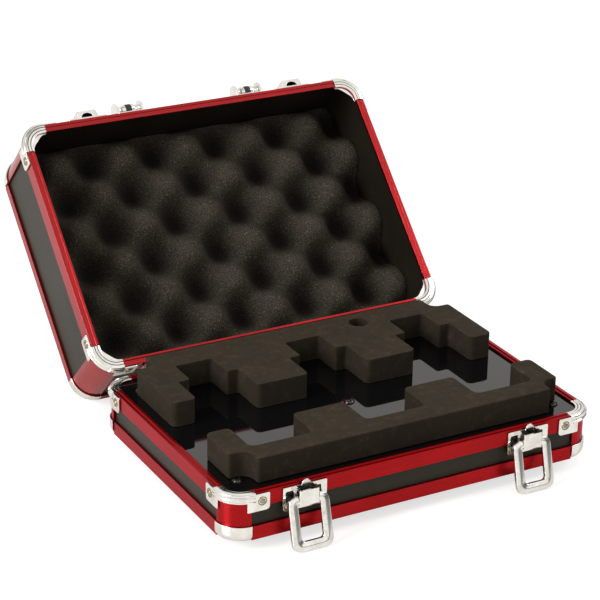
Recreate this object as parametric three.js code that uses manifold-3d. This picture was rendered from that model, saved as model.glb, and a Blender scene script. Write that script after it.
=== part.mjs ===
// Pedal case: a shallow base with a foam tray and a deeper lid with egg-crate foam,
// joined by a piano hinge and shown open. Millimetres, +Z up, floor at z = 0,
// front of the case towards -Y, origin on the floor in the middle of the open case.
import * as THREE from 'three';
import { mergeVertices } from 'three/addons/utils/BufferGeometryUtils.js';
import Module from 'manifold-3d';

const wasm = await Module();
wasm.setup();

// Whole case
const caseWidth = 250;
const caseDepth = 173;
const baseHeight = 30;
const lidHeight = 58.3;
const cornerRadius = 15;
const footHeight = 8.6;
const lidOpenAngle = THREE.MathUtils.degToRad(134.8);
const seatGap = 0.3;
const closedGap = 0.4;

// Aluminium profiles, wall boards and the tongue that enters the lid's groove
const skinThickness = 1.2;
const boardInset = 1.5;
const boardThickness = 2.4;
const panelThickness = 2.6;
const rimWidth = 5.2;
const webThickness = 1.8;
const rimLegThickness = 1;
const rimLegHeight = 2.4;
const baseRimBand = 9.6;
const lidRimBand = 10.7;
const baseEdgeBand = 8.7;
const lidEdgeBand = 6;
const flangeWidth = 10;
const tongueInset = 2.2;
const tongueWidth = 1.2;
const tongueHeight = 0.8;
const grooveSlack = 0.3;
const grooveDepth = 1.2;

// Chrome corners
const capThickness = 0.9;
const capRounding = 7;
const capHeight = 9.4;
const stripHeight = 5.4;
const postLap = 0.8;
const coverThickness = 0.7;
const coverReach = 2.1;
const coverGrooveInset = 2.2;
const coverGrooveWidth = 0.8;
const coverGrooveDepth = 0.35;
const earReach = 11;
const earWrap = 2.9;
const earDrop = 11.5;
const earCornerRadius = 2.5;
const ridgeRise = 0.7;
const ridgeWidth = 1.5;
const ridgeDrops = [1.3, 3.9];
const rivetRadius = 2.4;
const rivetRise = 1;
const rivetShoulderShare = 0.75;
const ridgeCrestShare = 0.4;
const rivetFromArc = 6.5;
const rivetDrop = 3.9;

// Tray and cut foam
const trayDrop = 1.5;
const trayThickness = 2.5;
const bossRadius = 5;
const bossFromSide = 16.3;
const bossFromFront = 20.7;
const foamThickness = 16.5;
const foamFromSide = 12;
const foamFromFront = 11.2;
const foamFromBack = 9.2;
const frontBarDepth = 15.4;
const lugReach = 26.8;
const backBarDepth = 20.2;
const socketDepth = 21.2;
const fingerReach = 25.7;
const pocketWidth = 41.4;
const pocketFromEnd = 15.6;
const socketWidth = 25.2;
const biteWidth = 12.6;
const frontBiteDepth = 12;
const backBiteDepth = 14.6;
const tipRadius = 4;
const filletRadius = 5;
const biteRadius = 8;
const edgeRadius = 2;
const cableHoleRadius = 6.5;
const cableHoleAside = 6.95;
const cableHoleFromBack = 13.6;

// Egg-crate foam
const crateClearance = 0.6;
const crateValley = 8;
const cratePeak = 27;
const cratePitch = 47.1;
const crateRow = 25.1;
const cratePeakX = -0.5;
const cratePeakFromBack = 55;
const crateFullness = 0.7;
const crateColumns = 46;
const crateRows = 33;

// Feet
const footRadius = 7;
const footTipRadius = 6;
const footFromSide = 30;
const footFromFront = 28;

// Draw latches on the front
const latchFromSide = 48.6;
const latchPlateWidth = 28.5;
const latchPlateLow = 14;
const latchPlateHigh = 29;
const plateThickness = 1;
const plateCornerRadius = 2;
const housingWidth = 13;
const housingLow = 18.6;
const housingHigh = 28.2;
const housingFront = 7.6;
const housingWall = 1.2;
const housingFloor = 1.2;
const housingChamfer = 0.8;
const hookWidth = 6;
const hookThickness = 1.2;
const hookLow = 20.3;
const hookHigh = 32.7;
const bailPivotUp = 21.3;
const bailPivotOut = 4.9;
const bailTilt = THREE.MathUtils.degToRad(15);
const bailWidth = 26;
const bailLegWidth = 4.8;
const bailCrossbar = 5.8;
const bailLength = 30.2;
const bailThickness = 3.5;
const bailBevel = 0.8;
const bailOuterRadius = 6;
const bailInnerRadius = 2.6;
const stubRadius = 1.3;
const stubClearance = 0.1;
const stubReach = 4.4;

// Strikes on the lid
const strikePlateWidth = 27;
const strikePlateLow = 1.2;
const strikePlateHigh = 13;
const hoodHalfBase = 8.4;
const hoodHalfTip = 6.6;
const hoodFront = 6.2;
const hoodLow = 1.6;
const hoodHigh = 11.4;
const hoodWall = 1.1;

// Carrying handle
const handleFromLatch = 31.9;
const handleUp = 8.5;
const handleOut = 5.2;
const bracketHalfWidth = 9.8;
const bracketLow = 2;
const bracketHigh = 15;
const bracketEarThickness = 1.7;
const bracketEarRadius = 4.2;
const handlePinRadius = 1.6;
const handleBoreRadius = 1.75;
const eyeRadius = 3.6;
const eyeHalfWidth = 4.6;
const handleReach = 27;
const handleArmWidth = 6.4;
const handleArmThickness = 5;
const handleBend = 12;
const gripFromEye = 15.5;
const gripWidth = 12;
const gripThickness = 8.4;
const gripRounding = 3.4;
const gripGrooveCount = 4;
const gripGrooveShare = 0.19;
const gripGrooveRadius = 6;
const gripGrooveDepth = 1.3;

// Piano hinge behind the rims
const hingeBehind = 3.2;
const hingeAboveRim = 1.4;
const hingeEndGap = 4.5;
const knuckleCount = 11;
const knuckleGap = 0.35;
const barrelRadius = 2.5;
const hingePinRadius = 1.2;
const hingeBoreRadius = 1.3;
const leafThickness = 0.8;
const leafClearance = 0.4;
const baseLeafDrop = 9;
const lidLeafRise = 10.2;

// Fineness of the meshes and how far joined pieces sink into each other
const quarterSteps = 6;
const roundSteps = 12;
const rivetSteps = 8;
const weld = 0.05;
const mergeTolerance = 1e-5;

const halfWidth = caseWidth / 2;
const halfDepth = caseDepth / 2;
const quarterTurn = Math.PI / 2;
const rimPlane = footHeight + baseHeight;
const lidShellHeight = lidHeight - closedGap;
const lidTop = rimPlane + lidHeight;
const hingeY = halfDepth + hingeBehind;
const hingeZ = rimPlane + hingeAboveRim;
const arcX = halfWidth - cornerRadius;
const arcY = halfDepth - cornerRadius;
const plateFront = seatGap + plateThickness;

// Places that follow from the case's size
const foamHalfWidth = halfWidth - foamFromSide;
const pocketPitch = foamHalfWidth - pocketFromEnd - pocketWidth / 2;
const foamFront = foamFromFront - halfDepth;
const barBack = foamFront + frontBarDepth;
const lugBack = barBack + lugReach;
const foamBack = halfDepth - foamFromBack;
const socketBack = foamBack - backBarDepth;
const stepBack = socketBack - socketDepth;
const fingerFront = stepBack - fingerReach;
const bossReachX = halfWidth - bossFromSide;
const bossReachY = halfDepth - bossFromFront;
const cableHoleX = pocketPitch / 2 + cableHoleAside;
const cableHoleY = foamBack - cableHoleFromBack;
const latchX = halfWidth - latchFromSide;
const handleX = latchX - handleFromLatch;
const gripLength = 2 * (handleX - gripFromEye);
const gripGroovePitch = gripLength * gripGrooveShare;
const hingeHalfLength = arcX - earReach - hingeEndGap;

const paint = (color, roughness, metalness) => () =>
  new THREE.MeshStandardMaterial({ color, roughness, metalness });
const redAluminium = paint(0x9c1a1c, 0.35, 0.7);
const blackBoard = paint(0x2b2824, 0.55, 0);
const chrome = paint(0xd9d6d0, 0.15, 1);
const glossBlack = paint(0x0b0b0d, 0.08, 0);
const cutFoam = paint(0x3a332c, 0.95, 0);
const crateFoam = paint(0x24211e, 1, 0);
const rubber = paint(0x1a1a1a, 0.85, 0);
const gripPlastic = paint(0x151515, 0.5, 0);
const steel = paint(0xb5b5b2, 0.3, 1);

// Solids in and out of three.js geometry
function toSolid(geometry) {
  geometry.deleteAttribute('normal');
  geometry.deleteAttribute('uv');
  const merged = mergeVertices(geometry, mergeTolerance);
  const position = merged.attributes.position;
  const corners = [0, 1, 2].map(() => new THREE.Vector3());
  const triangles = [];
  let volume = 0;
  for (let i = 0; i < merged.index.count; i += 3) {
    const triangle = [0, 1, 2].map((k) => merged.index.getX(i + k));
    if (new Set(triangle).size < 3) continue;
    triangle.forEach((vertex, k) => corners[k].fromBufferAttribute(position, vertex));
    volume += corners[0].dot(corners[1].clone().cross(corners[2]));
    triangles.push(triangle);
  }
  if (volume < 0) triangles.forEach((triangle) => triangle.reverse());
  return new wasm.Manifold(new wasm.Mesh({
    numProp: 3,
    vertProperties: Float32Array.from(position.array),
    triVerts: Uint32Array.from(triangles.flat()),
  }));
}

function toGeometry(solid) {
  const mesh = solid.getMesh();
  const geometry = new THREE.BufferGeometry();
  geometry.setAttribute('position', new THREE.BufferAttribute(mesh.vertProperties, 3));
  geometry.setIndex(new THREE.BufferAttribute(mesh.triVerts, 1));
  geometry.computeVertexNormals();
  return geometry;
}

function addMesh(parent, name, solid, material, place = {}) {
  const mesh = new THREE.Mesh(toGeometry(solid), material());
  mesh.name = name;
  mesh.position.set(place.x ?? 0, place.y ?? 0, place.z ?? 0);
  mesh.rotation.set(place.turnX ?? 0, 0, place.turnZ ?? 0);
  parent.add(mesh);
  return mesh;
}

const join = (solids) => solids.reduce((whole, piece) => whole.add(piece));

// Outline through points [x, y, radius], each corner rounded by its radius
function roundedOutline(points, Kind = THREE.Shape) {
  const outline = new Kind();
  points.forEach(([x, y, radius], i) => {
    const corner = new THREE.Vector2(x, y);
    const before = new THREE.Vector2(...points.at(i - 1));
    const after = new THREE.Vector2(...points[(i + 1) % points.length]);
    const start = corner.clone().add(before.sub(corner).setLength(radius));
    const end = corner.clone().add(after.sub(corner).setLength(radius));
    if (i === 0) outline.moveTo(start.x, start.y);
    else outline.lineTo(start.x, start.y);
    if (radius > 0) outline.quadraticCurveTo(x, y, end.x, end.y);
  });
  outline.closePath();
  return outline;
}

// Rounded rectangle of the case, drawn in from its faces
function caseOutline(inset, Kind = THREE.Shape) {
  const radius = cornerRadius - inset;
  const outline = new Kind();
  outline.absarc(arcX, arcY, radius, 0, quarterTurn);
  outline.absarc(-arcX, arcY, radius, quarterTurn, 2 * quarterTurn);
  outline.absarc(-arcX, -arcY, radius, 2 * quarterTurn, 3 * quarterTurn);
  outline.absarc(arcX, -arcY, radius, 3 * quarterTurn, 4 * quarterTurn);
  outline.closePath();
  return outline;
}

function extrude(shape, low, high, steps = quarterSteps / 2) {
  const settings = { depth: high - low, bevelEnabled: false, curveSegments: steps };
  return toSolid(new THREE.ExtrudeGeometry(shape, settings).translate(0, 0, low));
}

function ring(outerInset, innerInset, low, high) {
  const shape = caseOutline(outerInset);
  shape.holes.push(caseOutline(innerInset, THREE.Path));
  return extrude(shape, low, high);
}

function block(x, y, z) {
  const box = new THREE.BoxGeometry(x[1] - x[0], y[1] - y[0], z[1] - z[0]);
  return toSolid(box.translate((x[0] + x[1]) / 2, (y[0] + y[1]) / 2, (z[0] + z[1]) / 2));
}

function disc(radius, low, high, steps = roundSteps) {
  const cylinder = new THREE.CylinderGeometry(radius, radius, high - low, steps);
  return toSolid(cylinder.rotateX(quarterTurn).translate(0, 0, (low + high) / 2));
}

// Rod along X
function rod(radius, from, to, y, z, steps = roundSteps) {
  const cylinder = new THREE.CylinderGeometry(radius, radius, to - from, steps);
  return toSolid(cylinder.rotateZ(quarterTurn).translate((from + to) / 2, y, z));
}

function revolve(profile, steps = 4 * quarterSteps) {
  const points = profile.map(([radius, height]) => new THREE.Vector2(radius, height));
  return toSolid(new THREE.LatheGeometry(points, steps).rotateX(quarterTurn));
}

// Plate whose outline lies in the X and Z directions, from one depth to another along -Y
function uprightPlate(shape, from, to) {
  const settings = { depth: to - from, bevelEnabled: false, curveSegments: quarterSteps / 2 };
  return new THREE.ExtrudeGeometry(shape, settings).translate(0, 0, from).rotateX(quarterTurn);
}

// The corner pieces below are made round the centre of the case's corner arc,
// for the corner towards +X and +Y.
const quadrant = (low, high, from = 0) =>
  block([from, 2 * cornerRadius], [from, 2 * cornerRadius], [low, high]);

function capProfile(offset, top) {
  const profile = [[0, -offset]];
  for (let i = 0; i <= quarterSteps; i += 1) {
    const angle = quarterTurn * (i / quarterSteps);
    const radius = capRounding + offset;
    const across = cornerRadius - capRounding + radius * Math.sin(angle);
    profile.push([across, capRounding - radius * Math.cos(angle)]);
  }
  profile.push([cornerRadius + offset, top], [0, top]);
  return profile;
}

function ballCorner() {
  const outer = revolve(capProfile(seatGap + capThickness, capHeight));
  const inner = revolve(capProfile(seatGap, capHeight + weld));
  return outer.subtract(inner).intersect(quadrant(-cornerRadius, cornerRadius));
}

function cornerPost(low, high) {
  const sleeve = disc(cornerRadius, low, high, 4 * quarterSteps)
    .subtract(disc(cornerRadius - skinThickness, low - weld, high + weld, 4 * quarterSteps));
  return sleeve.intersect(quadrant(low - weld, high + weld));
}

function rimBracket(height) {
  const inner = cornerRadius + seatGap;
  const outer = inner + capThickness;
  const stripLow = height - stripHeight;
  const crest = ridgeCrestShare * ridgeWidth / 2;
  const stripProfile = [[inner, stripLow], [outer, stripLow]];
  [...ridgeDrops].reverse().forEach((drop) => {
    const middle = height - drop;
    stripProfile.push([outer, middle - ridgeWidth / 2], [outer + ridgeRise, middle - crest]);
    stripProfile.push([outer + ridgeRise, middle + crest], [outer, middle + ridgeWidth / 2]);
  });
  stripProfile.push([outer, height], [inner, height], [inner, stripLow]);
  const strip = revolve(stripProfile).intersect(quadrant(0, height + weld));

  const cover = new THREE.Shape();
  cover.moveTo(cornerRadius - rimWidth, -coverReach);
  cover.lineTo(outer, -coverReach);
  cover.absarc(0, 0, outer, 0, quarterTurn);
  cover.lineTo(-coverReach, outer);
  cover.lineTo(-coverReach, cornerRadius - rimWidth);
  cover.absarc(0, 0, cornerRadius - rimWidth, quarterTurn, 0, true);
  cover.closePath();
  const grooveEnd = coverGrooveInset + coverGrooveWidth;
  const groove = ring(coverGrooveInset, grooveEnd, height - coverGrooveDepth, height + coverGrooveDepth)
    .translate([-arcX, -arcY, 0]);
  const pieces = [strip, extrude(cover, height - coverThickness, height).subtract(groove)];

  const wrapProfile = [[inner, height - earDrop], [outer, height - earDrop], [outer, stripLow + weld]];
  wrapProfile.push([inner, stripLow + weld], [inner, height - earDrop]);
  const wrapRing = revolve(wrapProfile);
  [-1, 1].forEach((side) => {
    const ear = roundedOutline([
      [-side * weld, height - earDrop, 0],
      [side * earReach, height - earDrop, earCornerRadius],
      [side * earReach, height, edgeRadius / 2],
      [-side * weld, height, 0],
    ]);
    const plate = uprightPlate(ear, -outer, -inner);
    const shoulder = [rivetRadius * rivetShoulderShare, rivetRise * rivetShoulderShare];
    const dome = [[0, -weld], [rivetRadius, -weld], shoulder, [0, rivetRise]]
      .map(([radius, rise]) => new THREE.Vector2(radius, rise));
    const rivet = new THREE.LatheGeometry(dome, rivetSteps);
    rivet.translate(side * rivetFromArc, outer, height - rivetDrop);
    const turn = side > 0 ? -quarterTurn : 0;
    pieces.push(toSolid(plate.rotateZ(turn)), toSolid(rivet.rotateZ(turn)));
  });
  pieces.push(wrapRing.intersect(block([0, earWrap], [0, 2 * cornerRadius], [0, height])));
  pieces.push(wrapRing.intersect(block([0, 2 * cornerRadius], [0, earWrap], [0, height])));
  return join(pieces);
}

// Takes a form away at the four corners of a solid of the whole half
function cutCorners(solid, cutter) {
  return [0, 1, 2, 3].reduce((left, k) => {
    const across = k % 3 === 0 ? arcX : -arcX;
    const along = k < 2 ? arcY : -arcY;
    const turned = toGeometry(cutter).rotateZ(k * quarterTurn).translate(across, along, 0);
    return left.subtract(toSolid(turned));
  }, solid);
}

const underCap = quadrant(-cornerRadius, capRounding).subtract(revolve(capProfile(0, cornerRadius)));

function edgeFrame(band) {
  const frame = ring(0, skinThickness, 0, band).add(ring(0, flangeWidth, 0, skinThickness));
  return cutCorners(frame, underCap);
}

function wallBoards(height) {
  const low = skinThickness + seatGap;
  const high = height - webThickness - seatGap;
  return cutCorners(ring(boardInset, boardInset + boardThickness, low, high), underCap);
}

function outerPanel() {
  const low = skinThickness + seatGap;
  return extrude(caseOutline(boardInset + boardThickness + seatGap), low, low + panelThickness);
}

function rimFrame(height, band) {
  const frame = join([
    ring(0, skinThickness, height - band, height),
    ring(0, rimWidth, height - webThickness, height),
    ring(rimWidth - rimLegThickness, rimWidth, height - rimLegHeight, height),
  ]);
  const legEnd = height - stripHeight + postLap + seatGap;
  const postSpace = quadrant(height - 2 * band, legEnd, -seatGap)
    .subtract(disc(cornerRadius - skinThickness - seatGap / 2, 0, height, 4 * quarterSteps));
  const coverSpace = quadrant(height - coverThickness - seatGap, 2 * height, -coverReach - seatGap);
  return { frame, postSpace, coverSpace };
}

function baseRim() {
  const { frame, postSpace, coverSpace } = rimFrame(baseHeight, baseRimBand);
  const tongue = ring(tongueInset, tongueInset + tongueWidth, baseHeight - weld, baseHeight + tongueHeight);
  return cutCorners(cutCorners(frame.add(tongue), postSpace), coverSpace);
}

function lidRim() {
  const { frame, postSpace, coverSpace } = rimFrame(lidShellHeight, lidRimBand);
  const near = tongueInset - grooveSlack;
  const far = tongueInset + tongueWidth + grooveSlack;
  const groove = ring(near, far, lidShellHeight - grooveDepth, lidShellHeight + grooveDepth);
  return cutCorners(cutCorners(frame.subtract(groove), postSpace), coverSpace);
}

// One half of the case in its own frame: outer face at z = 0, rim at z = height
function addHalf(parent, name, height, edgeBand, rim, ySign) {
  addMesh(parent, `${name}_walls`, wallBoards(height), blackBoard);
  addMesh(parent, `${name}_panel`, outerPanel(), blackBoard);
  addMesh(parent, `${name}_edge_frame`, edgeFrame(edgeBand), redAluminium);
  addMesh(parent, `${name}_rim`, rim, redAluminium);
  const postHigh = height - stripHeight + postLap;
  [0, 1, 2, 3].forEach((k) => {
    const xSign = k % 3 === 0 ? 1 : -1;
    const side = k < 2 ? 1 : -1;
    const label = `${side * ySign > 0 ? 'back' : 'front'}_${xSign > 0 ? 'right' : 'left'}`;
    const place = { x: xSign * arcX, y: side * arcY, turnZ: k * quarterTurn };
    addMesh(parent, `${name}_post_${label}`, cornerPost(edgeBand + seatGap, postHigh), redAluminium, place);
    addMesh(parent, `${name}_ball_corner_${label}`, ballCorner(), chrome, place);
    addMesh(parent, `${name}_bracket_${label}`, rimBracket(height), chrome, place);
  });
}

// Tray board on five bosses that stand on the bottom panel
function tray() {
  const top = baseHeight - trayDrop;
  const low = skinThickness + 2 * seatGap + panelThickness;
  const board = extrude(caseOutline(rimWidth + seatGap), top - trayThickness, top);
  const centres = [[0, 0]];
  [-1, 1].forEach((x) => [-1, 1].forEach((y) => centres.push([x * bossReachX, y * bossReachY])));
  const bosses = centres.map(([x, y]) => {
    const boss = new THREE.CylinderGeometry(bossRadius, bossRadius, top - weld - low, roundSteps);
    return toSolid(boss.rotateX(quarterTurn).translate(x, y, (top - weld + low) / 2));
  });
  return join([board, ...bosses]);
}

const pocketCentres = [-pocketPitch, 0, pocketPitch];

function frontFoam() {
  const biteX = foamHalfWidth - biteWidth;
  const biteY = foamFront + frontBiteDepth;
  const points = [
    [-biteX, foamFront, edgeRadius], [biteX, foamFront, edgeRadius],
    [biteX, biteY, biteRadius], [foamHalfWidth, biteY, edgeRadius],
    [foamHalfWidth, lugBack, tipRadius],
  ];
  [...pocketCentres].reverse().forEach((centre) => {
    const right = centre + pocketWidth / 2;
    const left = centre - pocketWidth / 2;
    points.push([right, lugBack, tipRadius], [right, barBack, filletRadius]);
    points.push([left, barBack, filletRadius], [left, lugBack, tipRadius]);
  });
  points.push([-foamHalfWidth, lugBack, tipRadius]);
  points.push([-foamHalfWidth, biteY, edgeRadius], [-biteX, biteY, biteRadius]);
  return roundedOutline(points);
}

function backFoam() {
  const biteX = foamHalfWidth - biteWidth;
  const biteY = foamBack - backBiteDepth;
  const points = [[-foamHalfWidth, fingerFront, tipRadius]];
  pocketCentres.forEach((centre) => {
    const wide = pocketWidth / 2;
    const narrow = socketWidth / 2;
    points.push([centre - wide, fingerFront, tipRadius], [centre - wide, stepBack, edgeRadius]);
    points.push([centre - narrow, stepBack, edgeRadius], [centre - narrow, socketBack, edgeRadius]);
    points.push([centre + narrow, socketBack, edgeRadius], [centre + narrow, stepBack, edgeRadius]);
    points.push([centre + wide, stepBack, edgeRadius], [centre + wide, fingerFront, tipRadius]);
  });
  points.push([foamHalfWidth, fingerFront, tipRadius], [foamHalfWidth, biteY, edgeRadius]);
  points.push([biteX, biteY, biteRadius], [biteX, foamBack, edgeRadius]);
  points.push([-biteX, foamBack, edgeRadius], [-biteX, biteY, biteRadius]);
  points.push([-foamHalfWidth, biteY, edgeRadius]);
  const outline = roundedOutline(points);
  const hole = new THREE.Path();
  [0, 1, 2, 3].forEach((k) => {
    hole.absarc(cableHoleX, cableHoleY, cableHoleRadius, k * quarterTurn, (k + 1) * quarterTurn);
  });
  outline.holes.push(hole);
  return outline;
}

// Egg-crate foam: staggered rows of round peaks on a slab, in the lid's own frame
function crateFoamBlock() {
  const inset = boardInset + boardThickness + crateClearance;
  const low = skinThickness + seatGap + panelThickness + crateClearance;
  const width = caseWidth - 2 * inset;
  const depth = caseDepth - 2 * inset;
  const bumps = new THREE.BoxGeometry(width, depth, low, crateColumns, crateRows, 1);
  const position = bumps.attributes.position;
  for (let i = 0; i < position.count; i += 1) {
    const fromBack = position.getY(i) + halfDepth;
    const across = Math.cos(2 * Math.PI * ((position.getX(i) - cratePeakX) / cratePitch));
    const along = Math.cos(Math.PI * ((fromBack - cratePeakFromBack) / crateRow));
    const share = ((1 + across * along) / 2) ** crateFullness;
    const thickness = crateValley + (cratePeak - crateValley) * share;
    position.setZ(i, position.getZ(i) > 0 ? low + thickness : 0);
  }
  return toSolid(bumps).intersect(extrude(caseOutline(inset), low, low + 2 * cratePeak, 2));
}

function foot() {
  const top = footHeight + skinThickness;
  const ramp = footRadius - footTipRadius;
  return revolve([[0, 0], [footTipRadius, 0], [footRadius, ramp], [footRadius, top], [0, top]], roundSteps);
}

// Latch pieces: X across, Z up from the base's lower edge, -Y out from its front face
function latchBase() {
  const half = latchPlateWidth / 2;
  const plate = roundedOutline([
    [-half, latchPlateLow, plateCornerRadius], [half, latchPlateLow, plateCornerRadius],
    [half, latchPlateHigh, edgeRadius / 2], [-half, latchPlateHigh, edgeRadius / 2],
  ]);
  const side = housingWidth / 2;
  const housing = roundedOutline([
    [-side, 0, 0], [side, 0, 0],
    [side, housingFront - seatGap, housingChamfer], [-side, housingFront - seatGap, housingChamfer],
  ]);
  const inner = side - housingWall;
  const turned = new THREE.ExtrudeGeometry(housing, {
    depth: housingHigh - housingLow, bevelEnabled: false, curveSegments: 2,
  });
  turned.rotateX(Math.PI).translate(0, -seatGap - weld, housingHigh);
  const box = toSolid(turned);
  const hollow = block(
    [-inner, inner],
    [housingWall - housingFront, -plateFront],
    [housingLow + housingFloor, 2 * housingHigh],
  );
  const bore = rod(stubRadius + stubClearance, -half, half, -bailPivotOut, bailPivotUp);
  return toSolid(uprightPlate(plate, seatGap, plateFront)).add(box.subtract(hollow).subtract(bore));
}

function latchHook() {
  const half = hookWidth / 2;
  const tab = new THREE.Shape();
  tab.moveTo(-half, hookLow);
  tab.lineTo(half, hookLow);
  tab.absarc(0, hookHigh - half, half, 0, 2 * quarterTurn);
  tab.closePath();
  return toSolid(uprightPlate(tab, plateFront + seatGap, plateFront + seatGap + hookThickness));
}

// The bail is made round its pivot, hanging straight down
function bail() {
  const half = bailWidth / 2;
  const inner = half - bailLegWidth;
  const top = bailLegWidth / 2;
  const innerLow = bailCrossbar - bailLength;
  const loop = roundedOutline([
    [-half, -bailLength, bailOuterRadius], [half, -bailLength, bailOuterRadius],
    [half, top, bailOuterRadius], [-half, top, bailOuterRadius],
  ]);
  loop.holes.push(roundedOutline([
    [-inner, innerLow, bailInnerRadius], [inner, innerLow, bailInnerRadius],
    [inner, -top, bailInnerRadius], [-inner, -top, bailInnerRadius],
  ], THREE.Path));
  const bevelled = new THREE.ExtrudeGeometry(loop, {
    depth: bailThickness - 2 * bailBevel,
    bevelThickness: bailBevel,
    bevelSize: bailBevel,
    bevelOffset: -bailBevel,
    bevelSegments: 1,
    curveSegments: 3,
  });
  bevelled.translate(0, 0, bailBevel - bailThickness / 2).rotateX(quarterTurn);
  const side = housingWidth / 2 + seatGap;
  const gapSpan = [-top - bailInnerRadius, bailLegWidth];
  const gap = block([-side, side], [-bailThickness, bailThickness], gapSpan);
  const stubs = [-1, 1].map((sign) => {
    const ends = [sign * stubReach, sign * (side + bailLegWidth / 2)].sort((a, b) => a - b);
    return rod(stubRadius, ...ends, 0, 0);
  });
  return join([toSolid(bevelled).subtract(gap), ...stubs]);
}

// Lid hardware: X across, Z up from the closed lid's rim, -Y out from its front face
function strike() {
  const half = strikePlateWidth / 2;
  const plate = roundedOutline([
    [-half, strikePlateLow, edgeRadius / 2], [half, strikePlateLow, edgeRadius / 2],
    [half, strikePlateHigh, plateCornerRadius], [-half, strikePlateHigh, plateCornerRadius],
  ]);
  const trapezoid = (trim, from) => roundedOutline([
    [-hoodHalfBase + trim, -from, 0], [hoodHalfBase - trim, -from, 0],
    [hoodHalfTip - trim, trim - hoodFront, edgeRadius / 2],
    [trim - hoodHalfTip, trim - hoodFront, edgeRadius / 2],
  ]);
  const hood = extrude(trapezoid(0, seatGap + weld), hoodLow, hoodHigh, 2);
  const hollow = extrude(trapezoid(hoodWall, plateFront), 0, hoodHigh - hoodWall, 2);
  return toSolid(uprightPlate(plate, seatGap, plateFront)).add(hood.subtract(hollow));
}

function handleBracket() {
  const half = bracketHalfWidth;
  const plate = roundedOutline([
    [-half, bracketLow, plateCornerRadius], [half, bracketLow, plateCornerRadius],
    [half, bracketHigh, plateCornerRadius], [-half, bracketHigh, plateCornerRadius],
  ]);
  const pieces = [toSolid(uprightPlate(plate, seatGap, plateFront))];
  [-1, 1].forEach((side) => {
    const ends = [side * half, side * (half - bracketEarThickness)].sort((a, b) => a - b);
    pieces.push(rod(bracketEarRadius, ...ends, -handleOut, handleUp));
    const earSpan = [handleUp - bracketEarRadius, handleUp + bracketEarRadius];
    pieces.push(block(ends, [-handleOut, weld - plateFront], earSpan));
  });
  const pinEnd = half - bracketEarThickness / 2;
  pieces.push(rod(handlePinRadius, -pinEnd, pinEnd, -handleOut, handleUp));
  return join(pieces);
}

// The handle is made round its pivot line, standing straight up
function handle() {
  const path = new THREE.CurvePath();
  const point = (x, z) => new THREE.Vector3(x, 0, z);
  const bendX = handleX - handleBend;
  const bendZ = handleReach - handleBend;
  const bendPoints = (side) => [
    point(side * handleX, bendZ), point(side * handleX, handleReach), point(side * bendX, handleReach),
  ];
  const [leftArm, leftCorner, leftTop] = bendPoints(-1);
  const [rightArm, rightCorner, rightTop] = bendPoints(1);
  path.add(new THREE.LineCurve3(point(-handleX, 0), leftArm));
  path.add(new THREE.QuadraticBezierCurve3(leftArm, leftCorner, leftTop));
  path.add(new THREE.LineCurve3(leftTop, rightTop));
  path.add(new THREE.QuadraticBezierCurve3(rightTop, rightCorner, rightArm));
  path.add(new THREE.LineCurve3(rightArm, point(handleX, 0)));
  const across = handleArmThickness / 2;
  const wide = handleArmWidth / 2;
  const section = roundedOutline([
    [-across, -wide, edgeRadius], [across, -wide, edgeRadius],
    [across, wide, edgeRadius], [-across, wide, edgeRadius],
  ]);
  const arms = toSolid(new THREE.ExtrudeGeometry(section, {
    steps: 4 * quarterSteps, extrudePath: path, curveSegments: 2,
  }));
  const gripSection = roundedOutline([
    [-gripWidth / 2, -gripThickness / 2, gripRounding], [gripWidth / 2, -gripThickness / 2, gripRounding],
    [gripWidth / 2, gripThickness / 2, gripRounding], [-gripWidth / 2, gripThickness / 2, gripRounding],
  ]);
  const gripSettings = { depth: gripLength, bevelEnabled: false, curveSegments: 4 };
  const gripBar = new THREE.ExtrudeGeometry(gripSection, gripSettings);
  gripBar.translate(0, 0, -gripLength / 2).rotateY(quarterTurn).translate(0, 0, handleReach);
  let grip = toSolid(gripBar);
  const grooveOut = handleReach - gripWidth / 2 - gripGrooveRadius + gripGrooveDepth;
  for (let i = 0; i < gripGrooveCount; i += 1) {
    const x = gripGroovePitch * (i - (gripGrooveCount - 1) / 2);
    const size = [gripGrooveRadius, gripGrooveRadius, 2 * gripThickness];
    const finger = new THREE.CylinderGeometry(...size, roundSteps);
    grip = grip.subtract(toSolid(finger.translate(x, 0, grooveOut)));
  }
  const eyes = [-1, 1].map((side) => rod(
    eyeRadius, side * handleX - eyeHalfWidth, side * handleX + eyeHalfWidth, 0, 0,
  ));
  const bore = rod(handleBoreRadius, -halfWidth, halfWidth, 0, 0);
  return join([arms, grip, ...eyes]).subtract(bore);
}

// Hinge leaf with every second knuckle. up = 1 for the lid's leaf, -1 for the base's.
// Made round the hinge line, with the case's back face towards -Y.
function hingeLeaf(up, first, reach) {
  const length = 2 * hingeHalfLength;
  const pitch = length / knuckleCount;
  const back = seatGap - hingeBehind;
  const near = up * (barrelRadius + leafClearance);
  const far = up * reach;
  const span = [Math.min(near, far), Math.max(near, far)];
  const pieces = [block([-hingeHalfLength, hingeHalfLength], [back, back + leafThickness], span)];
  const bridge = [Math.min(near + up * weld, 0), Math.max(near + up * weld, 0)];
  for (let i = first; i < knuckleCount; i += 2) {
    const from = i * pitch - hingeHalfLength + knuckleGap / 2;
    const to = from + pitch - knuckleGap;
    pieces.push(rod(barrelRadius, from, to, 0, 0));
    pieces.push(block([from, to], [back, back + leafThickness], bridge));
  }
  return join(pieces).subtract(rod(hingeBoreRadius, -length, length, 0, 0));
}

const object = new THREE.Group();

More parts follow.
